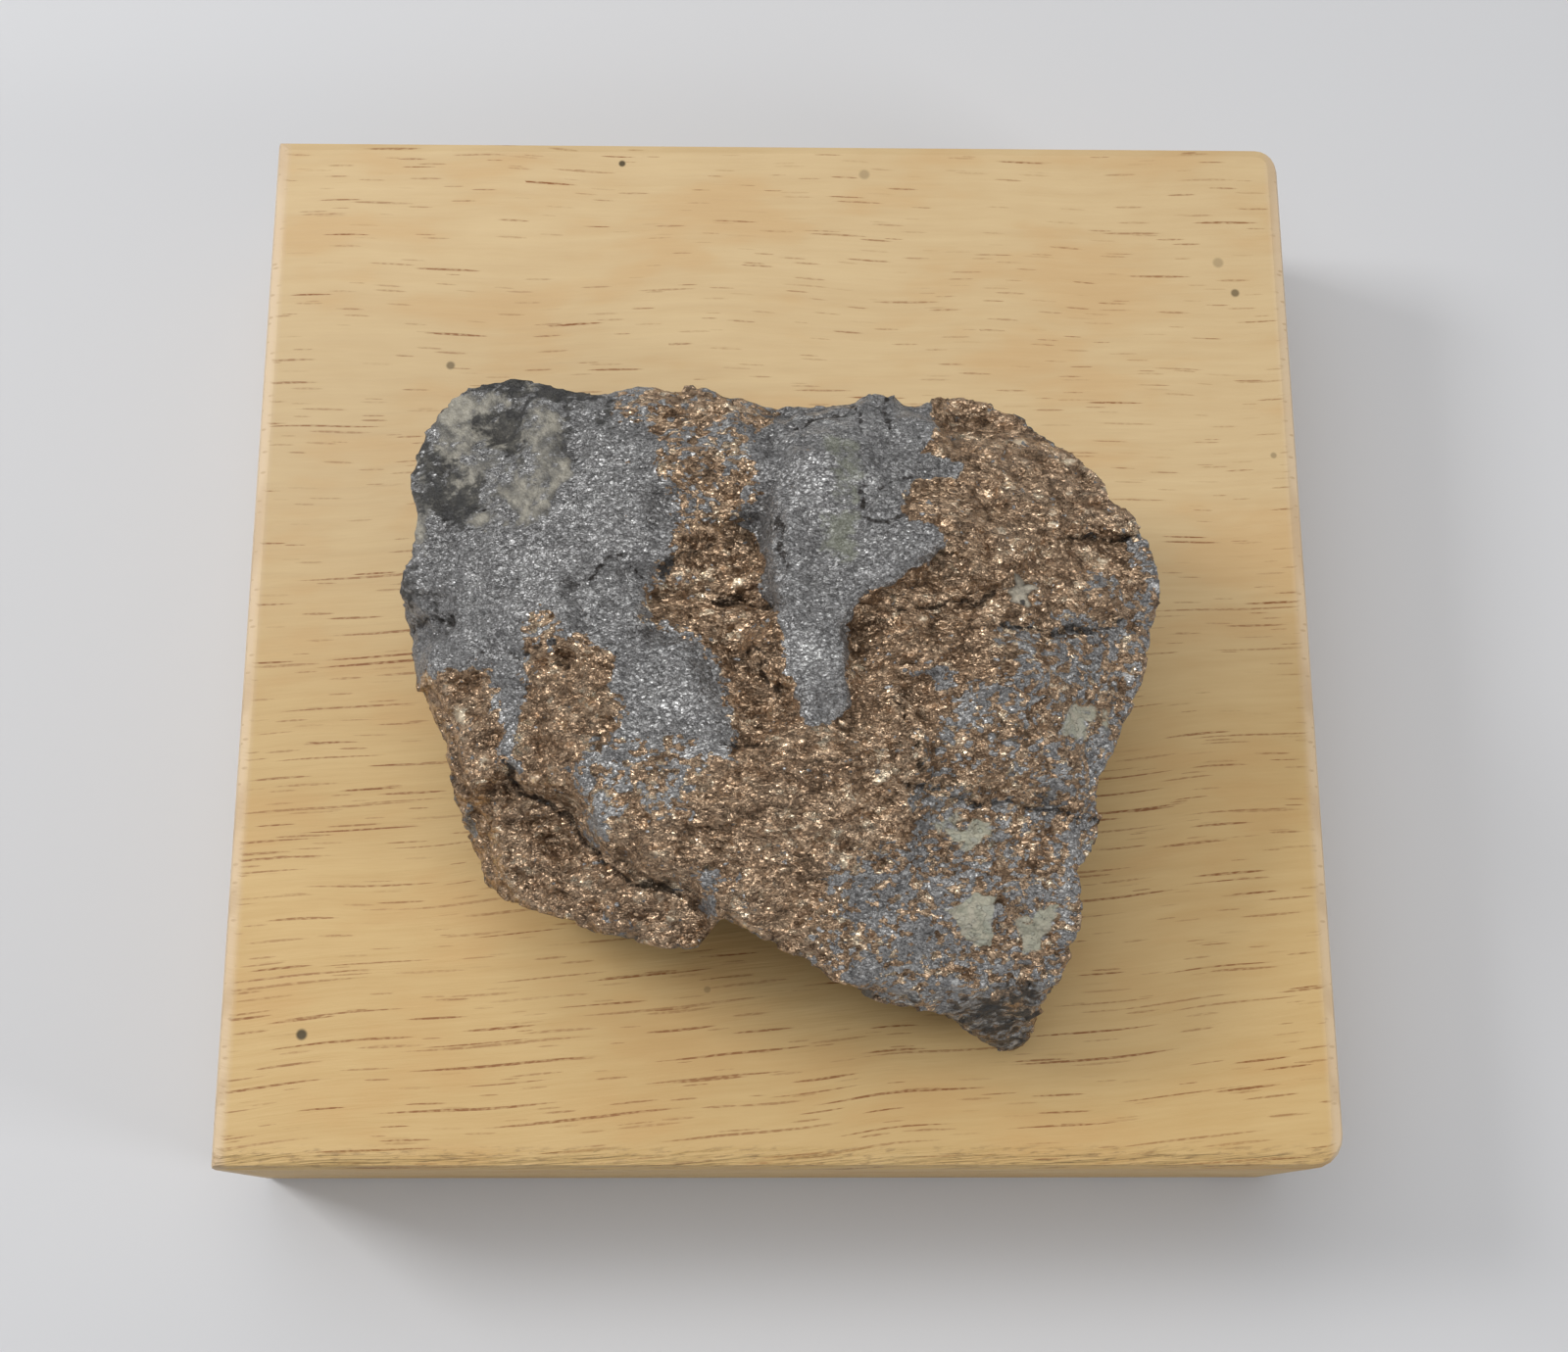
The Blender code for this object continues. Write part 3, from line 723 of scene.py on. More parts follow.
class GroupBuilder:
    """Builds the node groups that the finishes share, each of them once.

    Attributes:
        made: The groups that are built already, by name.
        seam: Over which distances from its middle a face fades into its seam.
        skew: How far a row of vessels is shifted along the grain from the next.
        vessel_spread: How thick the thinnest and the thickest vessels are.
        vessel_core: The share of a vessel's thickness that is fully dark.
    """

    made: dict[str, bpy.types.NodeTree] = {}
    seam: Pair = (0.42, 0.82)
    skew: float = 0.37
    vessel_spread: Pair = (0.5, 1.2)
    vessel_core: float = 0.68

    @classmethod
    def start(cls, name: str, inputs: dict[str, Socket],
              outputs: dict[str, Socket]) -> tuple[Graph, Sockets, Sockets]:
        """Make an empty group with its sockets.

        Args:
            name: The group's name.
            inputs: The names and kinds of its inputs.
            outputs: The names and kinds of its outputs.

        Returns:
            The graph, the inputs' sockets and the outputs' sockets.
        """
        tree = bpy.data.node_groups.new(name, "ShaderNodeTree")
        for label, kind in inputs.items():
            tree.interface.new_socket(label, in_out="INPUT", socket_type=kind.value)
        for label, kind in outputs.items():
            tree.interface.new_socket(label, in_out="OUTPUT", socket_type=kind.value)
        graph = Graph(tree)
        entry = graph.node("NodeGroupInput").outputs
        leave = graph.node("NodeGroupOutput").inputs
        cls.made[name] = tree
        return graph, entry, leave

    @classmethod
    def crystal_faces(cls) -> bpy.types.NodeTree:
        """Build small flat faces that tilt at random, with bent outlines.

        Returns:
            The group: place, swirl, size, tilt and dome go in; height, a number for
            each face and a mask of the seams between faces come out.
        """
        name = "crystal faces"
        if name in cls.made:
            return cls.made[name]
        graph, entry, leave = cls.start(
            name,
            {"Place": Socket.VECTOR, "Swirl": Socket.VECTOR, "Size": Socket.NUMBER,
             "Tilt": Socket.NUMBER, "Dome": Socket.NUMBER},
            {"Height": Socket.NUMBER, "Face": Socket.NUMBER, "Seam": Socket.NUMBER},
        )
        scaled = graph.vector("SCALE", entry["Place"])
        graph.feed(scaled.inputs["Scale"], graph.math("DIVIDE", 1.0, entry["Size"]))
        bent = graph.vector("ADD", scaled.outputs[0], entry["Swirl"])
        cells = graph.node("ShaderNodeTexVoronoi", feature="F1")
        cells.inputs["Scale"].default_value = 1.0
        graph.feed(cells.inputs["Vector"], bent.outputs[0])
        away = graph.vector("SUBTRACT", bent.outputs[0], cells.outputs["Position"])
        centred = graph.vector("SUBTRACT", cells.outputs["Color"], HALVES)
        slope = graph.vector("DOT_PRODUCT", away.outputs[0], centred.outputs[0]).outputs["Value"]
        tilted = graph.math("MULTIPLY", slope, entry["Tilt"])
        distance = cells.outputs["Distance"]
        crown = graph.math("MULTIPLY", graph.math("MULTIPLY", distance, distance), entry["Dome"])
        height = graph.math("MULTIPLY", graph.math("SUBTRACT", tilted, crown), entry["Size"])
        graph.feed(leave["Height"], height)
        split = graph.node("ShaderNodeSeparateColor")
        graph.feed(split.inputs[0], cells.outputs["Color"])
        graph.feed(leave["Face"], split.outputs[0])
        graph.feed(leave["Seam"], graph.step(distance, *cls.seam))
        return cls.made[name]

    @classmethod
    def pore_lines(cls) -> bpy.types.NodeTree:
        """Build the cut vessels of hardwood: thin dotted lines along the grain.

        Returns:
            The group: place along the grain, the length and width of a cell, the
            share of cells that hold a vessel and its thickness go in; a mask and
            a number for each vessel come out.
        """
        name = "pore lines"
        if name in cls.made:
            return cls.made[name]
        graph, entry, leave = cls.start(
            name,
            {"Place": Socket.VECTOR, "Length": Socket.NUMBER, "Width": Socket.NUMBER,
             "Share": Socket.NUMBER, "Thickness": Socket.NUMBER},
            {"Mask": Socket.NUMBER, "Vessel": Socket.NUMBER},
        )
        size = graph.node("ShaderNodeCombineXYZ")
        graph.feed(size.inputs[0], entry["Length"])
        graph.feed(size.inputs[1], entry["Width"])
        size.inputs[2].default_value = 1.0
        scaled = graph.vector("DIVIDE", entry["Place"], size.outputs[0])
        axes = graph.node("ShaderNodeSeparateXYZ")
        graph.feed(axes.inputs[0], scaled.outputs[0])
        along, across = axes.outputs[0], axes.outputs[1]
        skewed = graph.flat(graph.math("MULTIPLY_ADD", across, cls.skew, along), across)
        cells = graph.node("ShaderNodeTexVoronoi", feature="F1", voronoi_dimensions="2D")
        cells.inputs["Scale"].default_value = 1.0
        graph.feed(cells.inputs["Vector"], skewed)
        split = graph.node("ShaderNodeSeparateColor")
        graph.feed(split.inputs[0], cells.outputs["Color"])
        present = graph.math("LESS_THAN", split.outputs[0], entry["Share"])
        spread = graph.between(split.outputs[1], *cls.vessel_spread)
        radius = graph.math("MULTIPLY", entry["Thickness"], spread)
        inner = graph.math("MULTIPLY", radius, cls.vessel_core)
        dash = graph.rest(graph.step(cells.outputs["Distance"], inner, radius))
        graph.feed(leave["Mask"], graph.math("MULTIPLY", dash, present))
        graph.feed(leave["Vessel"], split.outputs[2])
        return cls.made[name]

    @classmethod
    def place_in_millimetres(cls) -> bpy.types.NodeTree:
        """Build the place on the object in millimetres.

        Returns:
            The group: nothing goes in, and the place comes out.
        """
        name = "place in millimetres"
        if name in cls.made:
            return cls.made[name]
        graph, _, leave = cls.start(name, {}, {"Place": Socket.VECTOR})
        place = graph.node("ShaderNodeTexCoord").outputs["Object"]
        scaled = graph.vector("SCALE", place)
        scaled.inputs["Scale"].default_value = 1.0 / MM
        graph.feed(leave["Place"], scaled.outputs[0])
        return cls.made[name]


def use_group(graph: Graph, tree: bpy.types.NodeTree, **values: object) -> Sockets:
    """Place a group in a material with its own values.

    Args:
        graph: The material's graph.
        tree: The group.
        **values: What goes into the inputs, by name.

    Returns:
        The group's outputs.
    """
    made = graph.node("ShaderNodeGroup", node_tree=tree)
    for name, value in values.items():
        graph.feed(made.inputs[name], value)
    return made.outputs


@dataclass(frozen=True)
class Ground:
    """One kind of ore ground.

    Attributes:
        size: Width of its crystal faces in millimetres.
        tilt: How steeply they tilt.
        dome: How far they bulge.
        seam: How dark the painted shade in the seams between them is.
        wrinkle: How dark the painted shade in the fine curved lines across them is.
        rough: Roughness of its freshest and its dullest faces.
        stops: Its colours, from dull to bright; each crystal face picks its own, partly the ore's
            own tone and partly painted reflection, and the brightest stop is a painted highlight.
    """

    size: float
    tilt: float
    dome: float
    seam: float
    wrinkle: float
    rough: Pair
    stops: tuple[tuple[float, Colour], ...]


@dataclass(frozen=True)
class Overlay:
    """A mineral that lies over the ore.

    Attributes:
        mark: The surface mark that says where it lies.
        first: Its colour where the fibres are weak.
        second: Its colour where they are strong.
        fibres: Over which strengths of the fibres the colour changes.
        lift: How far a strong mark raises the fibres.
        fray: How strongly its edge is frayed.
        softness: How softly its edge fades.
        cover: How much of the ore it hides.
        dull: How much of the metal's shine it takes away.
    """

    mark: Mark
    first: Colour
    second: Colour
    fibres: Pair
    lift: float
    fray: float
    softness: float
    cover: float
    dull: float


MOSS_GREEN: Colour = (0.160, 0.175, 0.098)
GREEN_WHITE: Colour = (0.37, 0.375, 0.29)
CREAM: Colour = (0.46, 0.425, 0.34)
STONE_GREY: Colour = (0.074, 0.069, 0.057)
OLIVE_BLACK: Colour = (0.022, 0.021, 0.020)


@dataclass(frozen=True)
class OreFinish:
    """Broken nickeline: coarse bronze grains, fine steel grey, and pale gangue.

    Attributes:
        bronze: The coarse bronze ground.
        grey: The fine steel-grey ground.
        squeeze: What each axis is multiplied by; above 1 the faces are narrower.
        overlays: The minerals over the ore, the lowest first.
        crevice_shade: The painted shade in the cracks, the seams between crystal faces, the fine
            curved lines and the hollows.
        crust_and_shade: The dull brown of the sides' crust, which also paints shade on the rims and
            steep parts.
        metallic: How metallic the ore is.
        stony_rough: Roughness of the overlays.
        stony_calm: How far the overlays flatten the crystal faces.
        bends: The noise that bends the outlines of the faces.
        clouds: The noise that makes some parts fresher.
        fibres: The fibres of the overlays.
        fibre_turn: Which way the fibres run, in degrees.
        crusts: The blotches of the crust.
        mingling: How strongly the edge between the grounds is frayed.
        edge: How soft that edge is.
        finer: Size of the finer faces, as a share of the coarse ones.
        finer_share: How much the finer faces set the tone.
        cloud_depth: How much the clouds set the tone.
        glint_lift: How much brighter the large clean faces are painted, a painted highlight where
            they catch the light.
        glint_flat: How far the large clean faces lose the small ones.
        mixed: Between which marks the two grounds count as mixed.
        mixed_lift: How much brighter mixed ground is.
        lines: Where each set of fine curved lines begins, and where it is full.
        line_depth: Depth of the fine curved lines in millimetres.
        crust_fibres: Over which values of the crusts the sides grow duller.
        crust_cover: How far the crust colour, with its painted shade, covers the freshest and the
            dullest parts of the sides.
        hollow_cover: How dark the painted shade in the hollows is.
        crack_fray: How strongly the cracks are frayed.
        crack_edge: Over which distances a crack fades.
        crack_cover: How dark the painted shade in the cracks is.
    """

    bronze: Ground = Ground(1.20, 0.98, 0.22, 0.32, 0.60, (0.27, 0.45), (
        (0.0, (0.305, 0.199, 0.122)),
        (0.35, (0.54, 0.370, 0.237)),
        (0.80, (0.74, 0.534, 0.358)),
        (1.0, (1.00, 0.84, 0.62)),
    ))
    grey: Ground = Ground(0.42, 0.46, 0.08, 0.24, 0.44, (0.42, 0.52), (
        (0.0, (0.198, 0.196, 0.196)),
        (0.45, (0.350, 0.347, 0.344)),
        (0.90, (0.50, 0.495, 0.488)),
        (1.0, (0.74, 0.74, 0.725)),
    ))
    squeeze: Triple = (1.0, 1.4, 1.2)
    overlays: tuple[Overlay, ...] = (
        Overlay(Mark.MOSS, MOSS_GREEN, MOSS_GREEN, (0.0, 1.0), 0.0, 2.4, 0.50, 0.5, 0.6),
        Overlay(Mark.PALE, STONE_GREY, CREAM, (0.40, 0.86), 0.30, 1.6, 0.20, 0.85, 1.0),
        # The dark overlay also paints the shade of the rim and tip patches.
        Overlay(Mark.DARK, OLIVE_BLACK, STONE_GREY, (0.42, 0.70), 0.0, 2.6, 0.30, 0.92, 0.7),
        Overlay(Mark.GREEN, GREEN_WHITE, CREAM, (0.40, 0.70), 0.0, 1.0, 0.14, 0.9, 1.0),
    )
    # The colour of the painted shade in cracks, seams, fine curved lines and hollows.
    crevice_shade: Colour = (0.024, 0.018, 0.014)
    crust_and_shade: Colour = (0.085, 0.068, 0.052)
    metallic: float = 0.86
    stony_rough: float = 0.62
    stony_calm: float = 0.6
    bends: Swell = Swell(0.9)
    clouds: Swell = Swell(5.0)
    fibres: Swell = Swell(1.3, 6.0, 0.82, (0.55, 1.0, 0.8))
    fibre_turn: float = 58.0
    crusts: Swell = Swell(3.0, 3.0, 0.6)
    mingling: float = 3.6
    edge: float = 0.04
    finer: float = 0.47
    finer_share: float = 0.45
    cloud_depth: float = 0.85
    glint_lift: float = 0.55
    glint_flat: float = 0.8
    mixed: Pair = (0.45, 0.05)
    mixed_lift: float = 0.13
    lines: tuple[Pair, ...] = ((0.035, 0.006), (0.030, 0.004), (0.022, 0.003))
    line_depth: float = 0.05
    crust_fibres: Pair = (0.35, 0.75)
    crust_cover: Pair = (0.35, 0.75)
    hollow_cover: float = 0.32
    crack_fray: float = 1.1
    crack_edge: Pair = (0.20, -0.04)
    crack_cover: float = 0.8

    def build(self) -> bpy.types.Material:
        """Make the material.

        Returns:
            The material, which reads the stone's surface marks.
        """
        material = bpy.data.materials.new("broken nickeline")
        material.use_nodes = True
        graph = Graph(material.node_tree)
        shader = material.node_tree.nodes["Principled BSDF"]
        place = use_group(graph, GroupBuilder.place_in_millimetres())["Place"]
        squeezed = graph.vector("MULTIPLY", place, self.squeeze).outputs[0]
        jitter = graph.vector("SUBTRACT", graph.swirl(squeezed, self.bends), HALVES).outputs[0]
        ragged = graph.vector("DOT_PRODUCT", jitter, HALVES).outputs["Value"]
        mingled = graph.math("MULTIPLY_ADD", ragged, self.mingling, graph.mark(Mark.BRONZE))
        share = graph.step(mingled, -self.edge, self.edge)
        ore = self.ore(graph, squeezed, jitter, share)
        colour, stony = self.overlaid(graph, place, ragged, ore["colour"])
        colour = self.worn(graph, place, ragged, colour)
        graph.feed(shader.inputs["Base Color"], colour)
        graph.feed(shader.inputs["Roughness"], graph.between(stony, ore["rough"], self.stony_rough))
        shine = graph.math("MULTIPLY", graph.rest(stony), self.metallic)
        graph.feed(shader.inputs["Metallic"], shine)
        calm = graph.rest(graph.math("MULTIPLY", stony, self.stony_calm))
        graph.bump(shader, graph.math("MULTIPLY", ore["height"], calm))
        return material

    def ore(self, graph: Graph, place: object, jitter: object, share: object) -> dict[str, object]:
        """Build the two grounds of the ore, each where the stone has it.

        Args:
            graph: The material's graph.
            place: The squeezed place in millimetres.
            jitter: What bends the outlines of the faces.
            share: 1 where the ground is bronze and 0 where it is grey.

        Returns:
            The colour, roughness and height.
        """
        bronze, grey = self.bronze, self.grey
        size = graph.between(share, grey.size, bronze.size)
        tilt = graph.between(share, grey.tilt, bronze.tilt)
        dome = graph.between(share, grey.dome, bronze.dome)
        coarse, fine = (
            use_group(graph, GroupBuilder.crystal_faces(), Place=place, Swirl=jitter, Size=width,
                      Tilt=tilt, Dome=dome)
            for width in (size, graph.math("MULTIPLY", size, self.finer))
        )
        glint = graph.mark(Mark.GLINT)
        # Each crystal face gets its own brightness: partly the ore's own tone, partly painted
        # reflection of faces turned to or from the lights.
        fresh = graph.between(self.finer_share, coarse["Face"], fine["Face"])
        cloud = graph.math("SUBTRACT", graph.noise(place, self.clouds), 0.5)
        tone = graph.math("MULTIPLY_ADD", cloud, self.cloud_depth, fresh)
        # Painted highlight: the glint faces are painted brighter.
        tone = graph.math("MULTIPLY_ADD", glint, self.glint_lift, tone)
        mixed = graph.step(graph.math("ABSOLUTE", graph.mark(Mark.BRONZE)), *self.mixed)
        tone = graph.math("MULTIPLY_ADD", mixed, self.mixed_lift, tone)
        colour = graph.blend(share, graph.ramp(tone, grey.stops), graph.ramp(tone, bronze.stops))
        # Painted shade: the seams between crystal faces and the fine curved lines are darkened,
        # except on the glints.
        seam = graph.math("MULTIPLY", coarse["Seam"], graph.between(share, grey.seam, bronze.seam))
        colour = graph.blend(seam, colour, self.crevice_shade)
        line = self.curved_lines(graph, jitter)
        dark = graph.math("MULTIPLY", line, graph.between(share, grey.wrinkle, bronze.wrinkle))
        colour = graph.blend(graph.math("MULTIPLY", dark, graph.rest(glint)), colour, self.crevice_shade)
        low, high = (graph.between(share, *rough) for rough in zip(grey.rough, bronze.rough))
        height = graph.math("ADD", coarse["Height"], fine["Height"])
        height = graph.math("SUBTRACT", height, graph.math("MULTIPLY", line, self.line_depth))
        flat = graph.rest(graph.math("MULTIPLY", glint, self.glint_flat))
        return {
            "colour": colour,
            "rough": graph.between(fine["Face"], high, low),
            "height": graph.math("MULTIPLY", height, flat),
        }

    def curved_lines(self, graph: Graph, jitter: object) -> bpy.types.NodeSocket:
        """Draw the fine curved lines where the jitter changes sign.

        Args:
            graph: The material's graph.
            jitter: Smooth random numbers around 0.

        Returns:
            The mask of the lines.
        """
        split = graph.node("ShaderNodeSeparateXYZ")
        graph.feed(split.inputs[0], jitter)
        total: object = 0.0
        for output, (width, core) in zip(split.outputs, self.lines):
            line = graph.step(graph.math("ABSOLUTE", output), width, core)
            total = graph.math("MAXIMUM", total, line)
        return total

    def overlaid(self, graph: Graph, place: object, ragged: object,
                 colour: object) -> tuple[bpy.types.NodeSocket, bpy.types.NodeSocket]:
        """Lay the gangue, the green-white spots and the moss tint over the ore.

        Args:
            graph: The material's graph.
            place: The place in millimetres.
            ragged: What frays the edges of the patches.
            colour: The ore's colour.

        Returns:
            The colour, and the share of the surface that isn't metallic.
        """
        turned = graph.node("ShaderNodeVectorRotate", rotation_type="Z_AXIS")
        turned.inputs["Angle"].default_value = math.radians(self.fibre_turn)
        graph.feed(turned.inputs["Vector"], place)
        fibres = graph.noise(turned.outputs[0], self.fibres)
        stony: object = 0.0
        for overlay in self.overlays:
            mark = graph.mark(overlay.mark)
            frayed = graph.math("MULTIPLY_ADD", ragged, overlay.fray, mark)
            mask = graph.step(frayed, -overlay.softness, overlay.softness)
            strong = graph.math("MULTIPLY_ADD", mark, overlay.lift, fibres)
            strong = graph.step(strong, *overlay.fibres)
            fibrous = graph.blend(strong, overlay.first, overlay.second)
            colour = graph.blend(graph.math("MULTIPLY", mask, overlay.cover), colour, fibrous)
            stony = graph.math("MAXIMUM", stony, graph.math("MULTIPLY", mask, overlay.dull))
        return colour, stony

    def worn(self, graph: Graph, place: object, ragged: object,
             colour: object) -> bpy.types.NodeSocket:
        """Paint shade into the cracks and hollows, and lay the crust with its painted shade over
        the sides and steep parts.

        Args:
            graph: The material's graph.
            place: The place in millimetres.
            ragged: What frays the cracks.
            colour: The colour so far.

        Returns:
            The colour.
        """
        crusts = graph.step(graph.noise(place, self.crusts), *self.crust_fibres)
        cover = graph.between(crusts, *self.crust_cover)
        # The side mark lays the crust colour over the sides, and paints shade on the rims and steep
        # parts.
        dull = graph.math("MULTIPLY", graph.mark(Mark.SIDE), cover)
        colour = graph.blend(dull, colour, self.crust_and_shade)
        # Painted shade in the hollows below the broad surface.
        hollow = graph.math("MULTIPLY", graph.mark(Mark.HOLLOW), self.hollow_cover)
        colour = graph.blend(hollow, colour, self.crevice_shade)
        # Painted shade in the cracks and at the feet of the ledges.
        gap = graph.math("MULTIPLY_ADD", ragged, self.crack_fray, graph.mark(Mark.CRACK))
        line = graph.step(gap, *self.crack_edge)
        return graph.blend(graph.math("MULTIPLY", line, self.crack_cover), colour, self.crevice_shade)


@dataclass(frozen=True)
class Spot:
    """A small round mark in the wood.

    Attributes:
        x: Its place along X.
        y: Its place along Y.
        radius: Its radius in millimetres.
        strength: How dark it is.
    """

    x: float
    y: float
    radius: float
    strength: float


@dataclass(frozen=True)
class Vessels:
    """One set of cut vessels in the wood.

    Attributes:
        length: Length of a vessel's cell along the grain in millimetres.
        width: Its width across the grain in millimetres.
        share: How many cells hold a vessel in the upper and the lower part.
        thickness: The vessel's half width as a share of the cell.
        depth: How dark the faintest and the strongest vessels are.
    """

    length: float
    width: float
    share: Pair
    thickness: float
    depth: Pair


@dataclass(frozen=True)
class EndGrain:
    """The two ends of the block, where the vessels are cut across.

    Attributes:
        colour: The paler wood of the ends.
        vessel: The open vessels and the late rings.
        reach: Between which distances from the middle an end begins.
        cover: How much of the wood's colour the paler wood hides.
        cells: How many vessels there are along a millimetre.
        pore: Over which distances from its middle a vessel fades.
        pore_cover: How dark the vessels are.
        heart: Where the heart of the log was, across and above the block.
        ring_turn: How far the wave of the rings turns in a millimetre.
        wander: The noise that makes the rings wander.
        wander_turn: How far it turns their wave.
        late: Over which values of the wave a ring darkens.
        late_cover: How dark the rings are.
    """

    colour: Colour = (0.70, 0.55, 0.39)
    vessel: Colour = (0.45, 0.30, 0.16)
    reach: Pair = (57.9, 59.2)
    cover: float = 0.6
    cells: float = 0.85
    pore: Pair = (0.17, 0.07)
    pore_cover: float = 0.6
    heart: Triple = (35.0, -95.0, 0.0)
    ring_turn: float = 1.25
    wander: Swell = Swell(14.0)
    wander_turn: float = 5.0
    late: Pair = (0.2, 1.0)
    late_cover: float = 0.35

    def mask(self, graph: Graph, axes: Sockets) -> bpy.types.NodeSocket:
        """Give 1 on the two ends and 0 elsewhere."""
        return graph.step(graph.math("ABSOLUTE", axes["X"]), *self.reach)

    def pores(self, graph: Graph, axes: Sockets) -> bpy.types.NodeSocket:
        """Give how dark the open vessels and the late rings are.

        Args:
            graph: The material's graph.
            axes: The place's X, Y and Z.

        Returns:
            The darkness, as if every face were an end.
        """
        flat = graph.flat(axes["Y"], axes["Z"])
        cells = graph.node("ShaderNodeTexVoronoi", feature="F1", voronoi_dimensions="2D")
        cells.inputs["Scale"].default_value = self.cells
        graph.feed(cells.inputs["Vector"], flat)
        open_pores = graph.step(cells.outputs["Distance"], *self.pore)
        away = graph.vector("DISTANCE", flat, self.heart).outputs["Value"]
        turn = graph.math("MULTIPLY", away, self.ring_turn)
        turn = graph.math("MULTIPLY_ADD", graph.noise(flat, self.wander), self.wander_turn, turn)
        rings = graph.step(graph.math("SINE", turn), *self.late)
        return graph.math(
            "MAXIMUM",
            graph.math("MULTIPLY", open_pores, self.pore_cover),
            graph.math("MULTIPLY", rings, self.late_cover),
        )


@dataclass(frozen=True)
class TornEdge:
    """The short torn fibres of the worn front edge.

    Attributes:
        colour: The shadows between the fibres.
        above: Between which places along Y the torn strip fades in from the top.
        below: Between which places along Y it fades out on the front face.
        fibres: The noise that draws the fibres.
        torn: Over which values of the noise a fibre is torn.
        cover: How dark the shadows are.
    """

    colour: Colour = (0.30, 0.185, 0.075)
    above: Pair = (-57.2, -58.4)
    below: Pair = (-60.0, -59.6)
    fibres: Swell = Swell(0.7, 3.0, 0.65, (0.35, 1.6, 1.0))
    torn: Pair = (0.50, 0.66)
    cover: float = 0.65

    def mask(self, graph: Graph, grain: object, axes: Sockets) -> bpy.types.NodeSocket:
        """Mask the shadows of the torn fibres.

        Args:
            graph: The material's graph.
            grain: The place along and across the grain.
            axes: The place's X, Y and Z.

        Returns:
            The mask.
        """
        above, below = (graph.step(axes["Y"], *reach) for reach in (self.above, self.below))
        fibres = graph.step(graph.noise(grain, self.fibres), *self.torn)
        shadows = graph.math("MULTIPLY", fibres, self.cover)
        return graph.math("MULTIPLY", graph.math("MULTIPLY", above, below), shadows)


